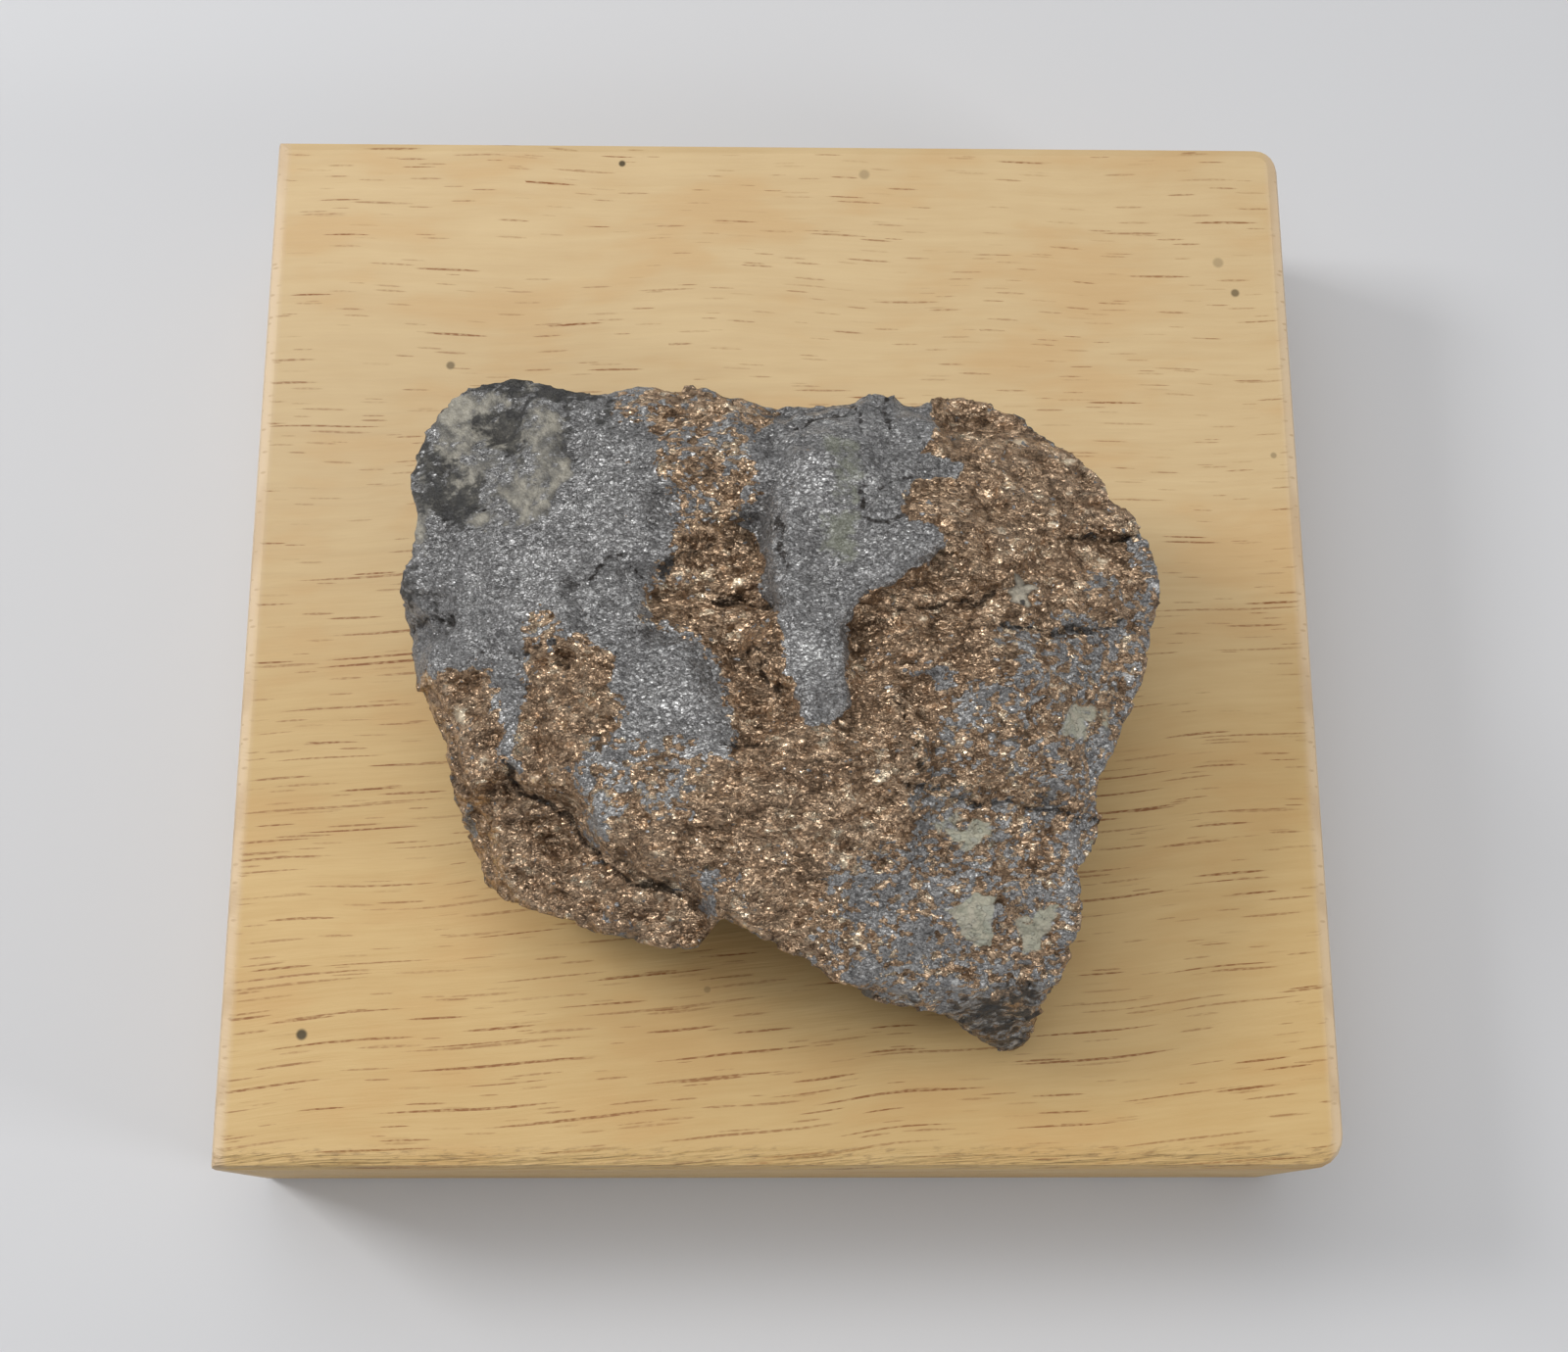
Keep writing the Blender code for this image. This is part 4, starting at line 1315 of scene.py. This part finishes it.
@dataclass(frozen=True)
class WoodFinish:
    """Sanded and thinly waxed pale hardwood.

    Attributes:
        upper: The wood of the paler part, from dark to light.
        lower: The wood of the yellower part, from dark to light.
        lower_reach: Between which places along Y the wood grows yellower.
        streaks: The fine streaks along the grain.
        clouds: The broad streaks along the grain.
        cloud_share: How much the broad streaks set the tone.
        tones: Over which values the tone changes.
        warm: The orange tint in places.
        warm_clouds: Over which values of the broad streaks the tint shows.
        warm_cover: How strong the tint is.
        ends: The end grain.
        edge: The torn front edge.
        vessel: The colour of the vessels.
        vessels: The sets of vessels.
        breaks: The noise that breaks the vessels into dots.
        broken: Over which values of the noise a vessel is broken.
        break_depth: How dark the breaks and the whole vessels are.
        spot: The colour of the pin-holes and resin spots.
        spots: The pin-holes and resin spots.
        spot_edge: Over which shares of its radius a spot fades.
        spot_reach: Between which heights the spots fade in.
        slant_reach: Between which places along Y the grain begins to slant.
        slant: How steeply it slants at the south.
        run_on: How far the grain runs on down the sides.
        bends: The noise that bends the grain.
        bend_reach: How far it is bent along each axis in millimetres.
        rough: Roughness of the dark and the light streaks.
        front_reach: Between which places along Y the front edge begins.
        relief: Height of the grain on the sanded faces and on the front edge.
    """

    upper: tuple[Colour, Colour] = ((0.555, 0.385, 0.190), (0.650, 0.485, 0.262))
    lower: tuple[Colour, Colour] = ((0.540, 0.345, 0.128), (0.640, 0.448, 0.200))
    lower_reach: Pair = (20.0, -22.0)
    streaks: Swell = Swell(1.3, 3.0, 0.65, (0.07, 1.0, 1.0))
    clouds: Swell = Swell(9.0, 3.0, 0.6, (0.4, 1.0, 1.0))
    cloud_share: float = 0.55
    tones: Pair = (0.22, 0.78)
    warm: Colour = (0.60, 0.345, 0.130)
    warm_clouds: Pair = (0.52, 0.36)
    warm_cover: float = 0.24
    ends: EndGrain = EndGrain()
    edge: TornEdge = TornEdge()
    vessel: Colour = (0.235, 0.080, 0.010)
    vessels: tuple[Vessels, ...] = (
        Vessels(58.0, 1.05, (0.02, 0.92), 0.155, (0.50, 1.0)),
        Vessels(21.0, 0.95, (0.26, 0.66), 0.165, (0.30, 1.0)),
        Vessels(9.0, 0.70, (0.50, 0.45), 0.195, (0.10, 0.65)),
    )
    breaks: Swell = Swell(0.75, 1.0, 0.5, (1.0, 2.2, 1.0))
    broken: Pair = (0.30, 0.62)
    break_depth: Pair = (0.35, 1.0)
    spot: Colour = (0.075, 0.048, 0.010)
    spots: tuple[Spot, ...] = (
        Spot(-38.2, 30.9, 0.55, 0.70),
        Spot(-18.8, 57.0, 0.45, 1.0),
        Spot(-51.0, -46.0, 0.65, 1.0),
        Spot(53.7, 40.7, 0.55, 0.75),
        Spot(51.9, 44.6, 0.7, 0.35),
        Spot(10.1, 55.8, 0.7, 0.35),
        Spot(57.0, 20.3, 0.4, 0.45),
        Spot(-7.9, -41.2, 0.4, 0.35),
    )
    spot_edge: Pair = (1.15, 0.6)
    spot_reach: Pair = (27.0, 27.5)
    slant_reach: Pair = (50.0, -20.0)
    slant: float = 0.098
    run_on: float = 0.93
    bends: Swell = Swell(28.0, 1.0)
    bend_reach: Triple = (0.0, 3.0, 0.0)
    rough: Pair = (0.44, 0.64)
    front_reach: Pair = (-57.4, -58.6)
    relief: Pair = (0.12, 0.7)

    def build(self) -> bpy.types.Material:
        """Make the material.

        Returns:
            The material, drawn in the block's own frame.
        """
        material = bpy.data.materials.new("sanded pale hardwood")
        material.use_nodes = True
        graph = Graph(material.node_tree)
        shader = material.node_tree.nodes["Principled BSDF"]
        split = graph.node("ShaderNodeSeparateXYZ")
        graph.feed(split.inputs[0], use_group(graph, GroupBuilder.place_in_millimetres())["Place"])
        axes = split.outputs
        grain = self.grain_place(graph, axes)
        lower = graph.step(axes["Y"], *self.lower_reach)
        ends = self.ends.mask(graph, axes)
        streak = graph.noise(grain, self.streaks)
        cloud = graph.noise(grain, self.clouds)
        tone = graph.step(graph.between(self.cloud_share, streak, cloud), *self.tones)
        colour = graph.blend(lower, graph.blend(tone, *self.upper), graph.blend(tone, *self.lower))
        warm = graph.step(cloud, *self.warm_clouds)
        vessels = self.vessel_depth(graph, grain, lower)
        pores = self.ends.pores(graph, axes)
        layers = (
            (graph.math("MULTIPLY", warm, self.warm_cover), self.warm),
            (graph.math("MULTIPLY", ends, self.ends.cover), self.ends.colour),
            (graph.math("MULTIPLY", vessels, graph.rest(ends)), self.vessel),
            (self.edge.mask(graph, grain, axes), self.edge.colour),
            (graph.math("MULTIPLY", pores, ends), self.ends.vessel),
            (self.pinned(graph, axes), self.spot),
        )
        for share, over in layers:
            colour = graph.blend(share, colour, over)
        graph.feed(shader.inputs["Base Color"], colour)
        graph.feed(shader.inputs["Roughness"], graph.between(streak, *self.rough))
        height = graph.between(graph.step(axes["Y"], *self.front_reach), *self.relief)
        graph.bump(shader, graph.math("MULTIPLY", streak, height))
        return material

    def vessel_depth(self, graph: Graph, grain: object, lower: object) -> bpy.types.NodeSocket:
        """Give how dark the cut vessels make the wood.

        Args:
            graph: The material's graph.
            grain: The place along and across the grain.
            lower: 1 in the lower part of the block.

        Returns:
            The darkness, 0 between the vessels.
        """
        whole = graph.step(graph.noise(grain, self.breaks), *self.broken)
        total: object = 0.0
        for kind in self.vessels:
            lines = use_group(graph, GroupBuilder.pore_lines(), Place=grain, Length=kind.length,
                              Width=kind.width, Share=graph.between(lower, *kind.share),
                              Thickness=kind.thickness)
            depth = graph.between(lines["Vessel"], *kind.depth)
            total = graph.math("MAXIMUM", total, graph.math("MULTIPLY", lines["Mask"], depth))
        return graph.math("MULTIPLY", total, graph.between(whole, *self.break_depth))

    def grain_place(self, graph: Graph, axes: Sockets) -> bpy.types.NodeSocket:
        """Slant the grain: level at the north, rising to the east at the south.

        Args:
            graph: The material's graph.
            axes: The place's X, Y and Z.

        Returns:
            The place along and across the grain, which runs on down the sides.
        """
        slant = graph.between(graph.step(axes["Y"], *self.slant_reach), 0.0, self.slant)
        across = graph.math("SUBTRACT", axes["Y"], graph.math("MULTIPLY", axes["X"], slant))
        across = graph.math("MULTIPLY_ADD", axes["Z"], self.run_on, across)
        flat = graph.flat(axes["X"], across)
        centred = graph.vector("SUBTRACT", graph.swirl(flat, self.bends), HALVES).outputs[0]
        return graph.vector("MULTIPLY_ADD", centred, self.bend_reach, flat).outputs[0]

    def pinned(self, graph: Graph, axes: Sockets) -> bpy.types.NodeSocket:
        """Mask the small round marks of the top.

        Args:
            graph: The material's graph.
            axes: The place's X, Y and Z.

        Returns:
            The mask.
        """
        flat = graph.flat(axes["X"], axes["Y"])
        total: object = 0.0
        for spot in self.spots:
            gap = graph.vector("DISTANCE", flat, (spot.x, spot.y, 0.0)).outputs["Value"]
            disc = graph.step(gap, *(spot.radius * share for share in self.spot_edge))
            total = graph.math("MAXIMUM", total, graph.math("MULTIPLY", disc, spot.strength))
        return graph.math("MULTIPLY", total, graph.step(axes["Z"], *self.spot_reach))


@dataclass(frozen=True)
class FloorFinish:
    """Plain pale matt paper.

    Attributes:
        colour: Its colour.
        rough: Its roughness.
    """

    colour: Colour = (0.62, 0.625, 0.64)
    rough: float = 0.8

    def build(self) -> bpy.types.Material:
        """Make the material.

        Returns:
            The material, the same all over.
        """
        material = bpy.data.materials.new("pale floor")
        material.use_nodes = True
        shader = material.node_tree.nodes["Principled BSDF"]
        shader.inputs["Base Color"].default_value = (*self.colour, 1.0)
        shader.inputs["Roughness"].default_value = self.rough
        return material


@dataclass(frozen=True)
class Sway:
    """Smooth random shifts of a place.

    Attributes:
        size: Width of the swells in millimetres.
        reach: How far they shift a place in millimetres.
        salt: Sets their pattern.
    """

    size: float
    reach: float
    salt: Salt

    def shift(self, places: np.ndarray) -> np.ndarray:
        """Give the shift of each place in millimetres."""
        return self.reach * drift(places, self.size, self.salt.value)


@dataclass(frozen=True)
class Facets:
    """One size of crystal faces.

    Attributes:
        size: Width of a face in millimetres.
        tilt: Its steepest slope.
        salt: Sets their pattern.
    """

    size: float
    tilt: float
    salt: Salt

    def height(self, places: np.ndarray) -> np.ndarray:
        """Give the height of the faces at each place in millimetres."""
        return cleavage(places, self.size, self.tilt, self.salt.value)


@dataclass(frozen=True)
class Unseen:
    """How much of a mineral the unseen sides of the stone show.

    Attributes:
        axis: Which of three random numbers sets it.
        gain: How strongly it follows that number.
        middle: Its share where the number is 0.
        limits: Its lowest and highest share.
    """

    axis: int
    gain: float
    middle: float
    limits: Pair

    def share(self, swell: np.ndarray) -> np.ndarray:
        """Give the mineral's share at each place."""
        return np.clip(swell[:, self.axis] * self.gain + self.middle, *self.limits)


UNSEEN = {
    Mark.BRONZE: Unseen(0, 0.9, 0.55, (0.05, 0.95)),
    Mark.PALE: Unseen(1, 1.6, -0.55, (0.0, 0.5)),
    Mark.DARK: Unseen(2, 1.6, -0.45, (0.0, 0.6)),
    Mark.GREEN: Unseen(0, 0.0, 0.0, (0.0, 0.0)),
    Mark.MOSS: Unseen(0, 0.0, 0.0, (0.0, 0.0)),
}


@dataclass
class Specimen:
    """The broken stone: the solid's shape with finer relief, mineral marks and marks for painted
    shade and highlights.

    Attributes:
        node: The solid it stands for.
        name: The name of the finer piece.
        voxel: Spacing of its points in millimetres.
        easing: How often the points are eased before the fine relief.
        broad_easing: How often they are eased to find the broad surface.
        pull: Shares of a point's own place and of its neighbours' in easing.
        bends: The shifts that bend the outlines of the patches.
        side: How upright the surface faces where a side begins, and over what.
        steep: The same for steep parts of the top.
        steep_share: How much of a side's crust and painted shade the steep parts get.
        plain: The share of bronze where no patch lies.
        crusts: Width of the swells of the unseen sides in millimetres.
        speckles: Widths of the layers of the speckle in millimetres.
        speckle_reach: Where the speckle begins and how far it reaches.
        clear: Below which share a mineral is cleared away.
        clearing: How strongly it is cleared away.
        far: The distance in millimetres that counts as far from a crack.
        sunk: The depth in millimetres at which a hollow begins, and over what.
        face_bend: The shifts that bend the crystal faces.
        coarse: The crystal faces of the bronze ground.
        step_limit: The highest step between two crystal faces in millimetres.
        fine: The crystal faces of the grey ground.
        fold_size: Width of the swells whose folds are the wrinkles.
        fold_height: Height of a wrinkle in millimetres.
        fold_power: How sharp a wrinkle is.
        bronze_gain: How sharply the bronze ground takes the place of the grey.
        crack_width: How wide the side of a crack is in millimetres.
        crack_depth: How deep a crack is in millimetres.
        calm: How far the large bright faces lose the fine relief.
        finish: The ore.
    """

    node: str = "nickeline_specimen"
    name: str = "broken_ore"
    voxel: float = 0.42
    easing: int = 2
    broad_easing: int = 14
    pull: Pair = (0.45, 0.55)
    bends: tuple[Sway, ...] = (Sway(2.4, 0.7, Salt.BEND), Sway(0.9, 0.3, Salt.RAGGED))
    side: Pair = (0.30, 0.35)
    steep: Pair = (0.52, 0.42)
    steep_share: float = 0.42
    plain: float = 1.25
    crusts: float = 9.0
    speckles: tuple[float, ...] = (2.6, 1.0, 0.7)
    speckle_reach: Pair = (0.15, 0.70)
    clear: float = 0.12
    clearing: float = 0.7
    far: float = 2.0
    sunk: Pair = (0.02, 0.16)
    face_bend: Sway = Sway(1.9, 0.6, Salt.TONE)
    coarse: tuple[Facets, ...] = (Facets(4.4, 0.24, Salt.COARSE), Facets(2.0, 0.20, Salt.MIDDLE))
    step_limit: float = 0.32
    fine: Facets = Facets(2.6, 0.08, Salt.FINE)
    fold_size: float = 3.4
    fold_height: float = 0.22
    fold_power: int = 6
    bronze_gain: float = 1.6
    crack_width: float = 0.35
    crack_depth: float = 0.22
    calm: float = 0.8
    finish: OreFinish = field(default_factory=OreFinish)

    def build(self) -> bpy.types.Object:
        """Make the stone.

        Returns:
            The stone, riding on the part's body.
        """
        stone = self.fine_copy()
        mesh = stone.data
        links = self.neighbours(mesh)
        places = self.eased(self.read(mesh), links, self.easing)
        broad = self.eased(places, links, self.broad_easing)
        normals = self.normals(mesh, broad)
        marks = self.marks(places, normals)
        marks[Mark.HOLLOW] = self.hollow(places, broad, normals)
        places = places + normals * self.relief(places, marks)[:, None]
        places = np.clip(places, *self.box())
        mesh.vertices.foreach_set("co", (places * MM).astype(np.float32).ravel())
        for mark, values in marks.items():
            layer = mesh.attributes.new(mark.value, "FLOAT", "POINT")
            layer.data.foreach_set("value", values.astype(np.float32))
        mesh.polygons.foreach_set("use_smooth", np.ones(len(mesh.polygons), dtype=bool))
        mesh.update()
        mesh.materials.clear()
        mesh.materials.append(self.finish.build())
        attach(stone, "root")
        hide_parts(self.node)
        return stone

    def fine_copy(self) -> bpy.types.Object:
        """Copy the solid and divide its surface evenly.

        Returns:
            The new object.
        """
        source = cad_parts[self.node]
        draft = bpy.data.objects.new("draft", source.data.copy())
        bpy.context.scene.collection.objects.link(draft)
        remesh = draft.modifiers.new("even", "REMESH")
        remesh.mode = "VOXEL"
        remesh.voxel_size = self.voxel * MM
        depsgraph = bpy.context.evaluated_depsgraph_get()
        mesh = bpy.data.meshes.new_from_object(draft.evaluated_get(depsgraph))
        mesh.name = self.name
        bpy.data.objects.remove(draft, do_unlink=True)
        self.drop_specks(mesh)
        stone = bpy.data.objects.new(self.name, mesh)
        bpy.context.scene.collection.objects.link(stone)
        return stone

    def drop_specks(self, mesh: bpy.types.Mesh) -> None:
        """Take out loose specks, so that the stone is one closed surface.

        Args:
            mesh: The stone's mesh.
        """
        shape = bmesh.new()
        shape.from_mesh(mesh)
        left = set(shape.verts)
        largest: set[bmesh.types.BMVert] = set()
        while left:
            shell = {left.pop()}
            waiting = list(shell)
            while waiting:
                point = waiting.pop()
                for edge in point.link_edges:
                    other = edge.other_vert(point)
                    if other in left:
                        left.remove(other)
                        shell.add(other)
                        waiting.append(other)
            largest = max(largest, shell, key=len)
        specks = [point for point in shape.verts if point not in largest]
        bmesh.ops.delete(shape, geom=specks, context="VERTS")
        shape.to_mesh(mesh)
        shape.free()

    def read(self, mesh: bpy.types.Mesh) -> np.ndarray:
        """Read the places of a mesh's points.

        Args:
            mesh: The mesh.

        Returns:
            The places in millimetres.
        """
        values = np.empty(len(mesh.vertices) * 3, dtype=np.float32)
        mesh.vertices.foreach_get("co", values)
        return values.reshape(-1, 3).astype(float) / MM

    def neighbours(self, mesh: bpy.types.Mesh) -> tuple[np.ndarray, np.ndarray]:
        """List the two ends of every edge.

        Args:
            mesh: The mesh.

        Returns:
            The first ends and the second ends, as numbers of points.
        """
        ends = np.empty(len(mesh.edges) * 2, dtype=np.int32)
        mesh.edges.foreach_get("vertices", ends)
        pairs = ends.reshape(-1, 2)
        return pairs[:, 0], pairs[:, 1]

    def eased(self, places: np.ndarray, links: tuple[np.ndarray, np.ndarray],
              passes: int) -> np.ndarray:
        """Move each point towards the middle of its neighbours.

        Args:
            places: The points.
            links: The two ends of every edge.
            passes: How often they move.

        Returns:
            The eased points.
        """
        first, second = links
        total = len(places)
        count = np.bincount(first, minlength=total) + np.bincount(second, minlength=total)
        own, shared = self.pull
        for _ in range(passes):
            middle = np.empty(places.shape)
            for axis, column in enumerate(places.T):
                middle[:, axis] = np.bincount(first, weights=column[second], minlength=total)
                middle[:, axis] += np.bincount(second, weights=column[first], minlength=total)
            places = places * own + middle / count[:, None] * shared
        return places

    def box(self) -> tuple[np.ndarray, np.ndarray]:
        """Give the solid's lowest and highest corner in millimetres."""
        low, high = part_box(self.node)
        return np.array(low) / MM, np.array(high) / MM

    def normals(self, mesh: bpy.types.Mesh, places: np.ndarray) -> np.ndarray:
        """Work out which way the eased surface faces at each point.

        Args:
            mesh: The stone's mesh, whose faces have four corners.
            places: The points.

        Returns:
            One unit vector for each point.
        """
        corners = np.empty(len(mesh.loops), dtype=np.int32)
        mesh.loops.foreach_get("vertex_index", corners)
        starts = np.empty(len(mesh.polygons), dtype=np.int32)
        mesh.polygons.foreach_get("loop_start", starts)
        quads = corners[starts[:, None] + np.arange(4)]
        across = places[quads[:, 2]] - places[quads[:, 0]]
        along = places[quads[:, 3]] - places[quads[:, 1]]
        facing = np.cross(across, along)
        total = np.zeros(places.shape)
        for axis, corner in itertools.product(range(3), range(4)):
            total[:, axis] += np.bincount(
                quads[:, corner], weights=facing[:, axis], minlength=len(places))
        return total / np.maximum(np.linalg.norm(total, axis=1), TINY)[:, None]

    def marks(self, places: np.ndarray, normals: np.ndarray) -> dict[Mark, np.ndarray]:
        """Work out each surface mark at each point, apart from the hollows.

        Args:
            places: The points in millimetres.
            normals: Which way the surface faces.

        Returns:
            The marks.
        """
        bent = places
        for sway in self.bends:
            bent = bent + sway.shift(places)
        x, y = bent[:, 0], bent[:, 1]
        side = self.leaning(normals, self.side)
        marks = self.patch_marks(places, x, y, side)
        gap = np.full(len(places), self.far)
        for crack in CRACKS:
            gap = np.minimum(gap, crack.distance(x, y) + self.far * side)
        marks[Mark.CRACK] = gap
        # Steep parts of the top share the side mark, so the finish paints shade on them.
        steep = self.steep_share * self.leaning(normals, self.steep)
        marks[Mark.SIDE] = np.maximum(side, steep)
        # The glint share, where the finish paints highlights and the relief leans the faces.
        fresh = np.zeros(len(places))
        for glint in GLINTS:
            fresh = np.maximum(fresh, glint.share(places[:, 0], places[:, 1]) * (1.0 - side))
        marks[Mark.GLINT] = fresh
        return marks

    def leaning(self, normals: np.ndarray, limits: Pair) -> np.ndarray:
        """Give 1 where the surface leans far over, falling to 0 where it lies flat.

        Args:
            normals: Which way the surface faces.
            limits: How upright it faces where the share begins, and over what it grows.

        Returns:
            The share.
        """
        start, width = limits
        return smooth_step((start - normals[:, 2]) / width)

    def patch_marks(self, places: np.ndarray, x: np.ndarray, y: np.ndarray,
                    side: np.ndarray) -> dict[Mark, np.ndarray]:
        """Work out how much of each mineral there is at each point.

        A mark is the mineral's share less a speckle, so the finish lays the
        mineral where its mark is above 0.

        Args:
            places: The points in millimetres.
            x: Their places along X, bent for the outlines of the patches.
            y: Their places along Y, bent in the same way.
            side: 1 on the stone's sides.

        Returns:
            The marks.
        """
        over = (Mark.PALE, Mark.DARK, Mark.GREEN, Mark.MOSS)
        share = {mark: np.zeros(len(places)) for mark in over}
        share[Mark.BRONZE] = np.full(len(places), self.plain)
        for patch in PATCHES:
            share[patch.mark] = patch.paint(share[patch.mark], x, y)
        swell = drift(places, self.crusts, Salt.CRUST.value)
        lowest, reach = self.speckle_reach
        marks = {}
        for order, (mark, shown) in enumerate(share.items()):
            whole = shown * (1.0 - side) + UNSEEN[mark].share(swell) * side
            salt = Salt.SPECKLE.value + SPECKLE_SALT_STEP * order
            grain = speckle(places, self.speckles, salt)
            cleared = smooth_step(1.0 - whole / self.clear)
            marks[mark] = whole - (lowest + reach * grain) - self.clearing * cleared
        return marks

    def hollow(self, places: np.ndarray, broad: np.ndarray, normals: np.ndarray) -> np.ndarray:
        """Mark the points that lie below the broad surface, where the finish paints shade."""
        start, width = self.sunk
        return smooth_step((((broad - places) * normals).sum(axis=1) - start) / width)

    def relief(self, places: np.ndarray, marks: dict[Mark, np.ndarray]) -> np.ndarray:
        """Give the fine relief: crystal faces, wrinkles and cracks.

        Args:
            places: The points in millimetres.
            marks: The surface marks.

        Returns:
            How far each point moves outwards, in millimetres.
        """
        bent = (places + self.face_bend.shift(places)) * np.array(self.finish.squeeze)
        coarse = sum(faces.height(bent) for faces in self.coarse)
        folds = 1.0 - np.abs(drift(bent, self.fold_size, Salt.WRINKLE.value)[:, :2])
        sharp = folds**self.fold_power
        fine = self.fine.height(bent) + self.fold_height * (sharp[:, 0] + sharp[:, 1])
        share = smooth_step(0.5 + marks[Mark.BRONZE] * self.bronze_gain)
        moved = fine + (self.step_limit * np.tanh(coarse / self.step_limit) - fine) * share
        cut = smooth_step(1.0 - marks[Mark.CRACK] / self.crack_width)
        moved = moved * (1.0 - self.calm * marks[Mark.GLINT]) - self.crack_depth * cut
        for glint in GLINTS:
            moved = moved + glint.lean(places[:, 0], places[:, 1]) * (1.0 - marks[Mark.SIDE])
        return moved


@dataclass
class Block:
    """The display block: the solid itself, in sanded hardwood.

    Attributes:
        node: The solid.
        finish: The wood.
    """

    node: str = "display_block"
    finish: WoodFinish = field(default_factory=WoodFinish)

    def dress(self) -> bpy.types.Object:
        """Give the solid its wood.

        Returns:
            The solid.
        """
        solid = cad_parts[self.node]
        wood = self.finish.build()
        for slot in solid.material_slots:
            slot.material = wood
        return solid


@dataclass(frozen=True)
class SoftLight:
    """A soft light.

    Attributes:
        place: Where it is, in metres.
        size: Its side in metres.
        power: Its power in watts.
    """

    place: Triple
    size: float
    power: float

    def build(self, name: str, target: Vector) -> bpy.types.Object:
        """Make the light.

        Args:
            name: Its name.
            target: What it faces.

        Returns:
            The light.
        """
        lamp = bpy.data.lights.new(name, "AREA")
        lamp.size = self.size
        lamp.energy = self.power
        light = bpy.data.objects.new(name, lamp)
        bpy.context.scene.collection.objects.link(light)
        light.location = self.place
        light.rotation_euler = (target - Vector(self.place)).to_track_quat("-Z", "Y").to_euler()
        return light


@dataclass
class Studio:
    """The pale floor, the soft lights and the camera.

    Attributes:
        floor_side: Side of the floor in metres.
        floor_drop: How far the floor lies under the block in metres.
        lights: The soft lights, by name.
        aim: What the lights face, in metres.
        sky_colour: The colour of the even light of the room.
        sky_strength: How bright that light is.
        eye: Where the camera is, in metres.
        turn: How the camera is turned, in degrees.
        focal_length: The lens in millimetres.
        sensor: Width of the camera's sensor in millimetres.
        nearest: The shortest distance that the camera sees, in metres.
    """

    floor_side: float = 12.0
    floor_drop: float = 0.0002
    lights: dict[str, SoftLight] = field(default_factory=lambda: {
        "left light": SoftLight((-0.48, 0.16, 0.48), 0.18, 1.9),
        "right light": SoftLight((0.56, -0.22, 0.32), 0.16, 1.0),
        "overhead light": SoftLight((-0.16, 0.22, 0.85), 0.80, 3.45),
    })
    aim: Triple = (0.0, -0.01, 0.04)
    sky_colour: Colour = (0.90, 0.90, 0.91)
    sky_strength: float = 0.36
    eye: Triple = (-0.00402, -0.06845, 0.2576)
    turn: Triple = (15.148, -1.077, -0.100)
    focal_length: float = 48.8925
    sensor: float = 36.0
    nearest: float = 0.005

    def build(self) -> None:
        """Make the floor, the lights, the sky and the camera."""
        self.floor()
        for name, light in self.lights.items():
            light.build(name, Vector(self.aim))
        self.sky()
        self.camera()

    def floor(self) -> None:
        """Lay the floor just under the block."""
        half = self.floor_side / 2.0
        mesh = bpy.data.meshes.new("floor")
        corners = [(-half, -half, 0.0), (half, -half, 0.0), (half, half, 0.0), (-half, half, 0.0)]
        mesh.from_pydata(corners, [], [(0, 1, 2, 3)])
        mesh.materials.append(FloorFinish().build())
        floor = bpy.data.objects.new("floor", mesh)
        bpy.context.scene.collection.objects.link(floor)
        floor.location.z = -self.floor_drop

    def sky(self) -> None:
        """Fill the room with even pale light."""
        world = bpy.data.worlds.new("room")
        world.use_nodes = True
        background = world.node_tree.nodes["Background"]
        background.inputs["Color"].default_value = (*self.sky_colour, 1.0)
        background.inputs["Strength"].default_value = self.sky_strength
        bpy.context.scene.world = world
        bpy.context.scene.view_settings.view_transform = "Standard"

    def camera(self) -> None:
        """Place the camera above the stone, a little towards the south."""
        lens = bpy.data.cameras.new("camera")
        lens.sensor_width = self.sensor
        lens.lens = self.focal_length
        lens.clip_start = self.nearest
        camera = bpy.data.objects.new("camera", lens)
        bpy.context.scene.collection.objects.link(camera)
        camera.location = self.eye
        camera.rotation_euler = Euler([math.radians(angle) for angle in self.turn], "XYZ")
        bpy.context.scene.camera = camera


def main() -> None:
    """Build the studio, the block and the stone."""
    logging.basicConfig(level=logging.INFO, format="%(message)s")
    Studio().build()
    LOG.info("studio built")
    block = Block().dress()
    LOG.info("%s dressed", block.name)
    stone = Specimen().build()
    mesh = stone.data
    LOG.info("%s: %d points, %d faces", stone.name, len(mesh.vertices), len(mesh.polygons))


if __name__ == "__main__":
    main()
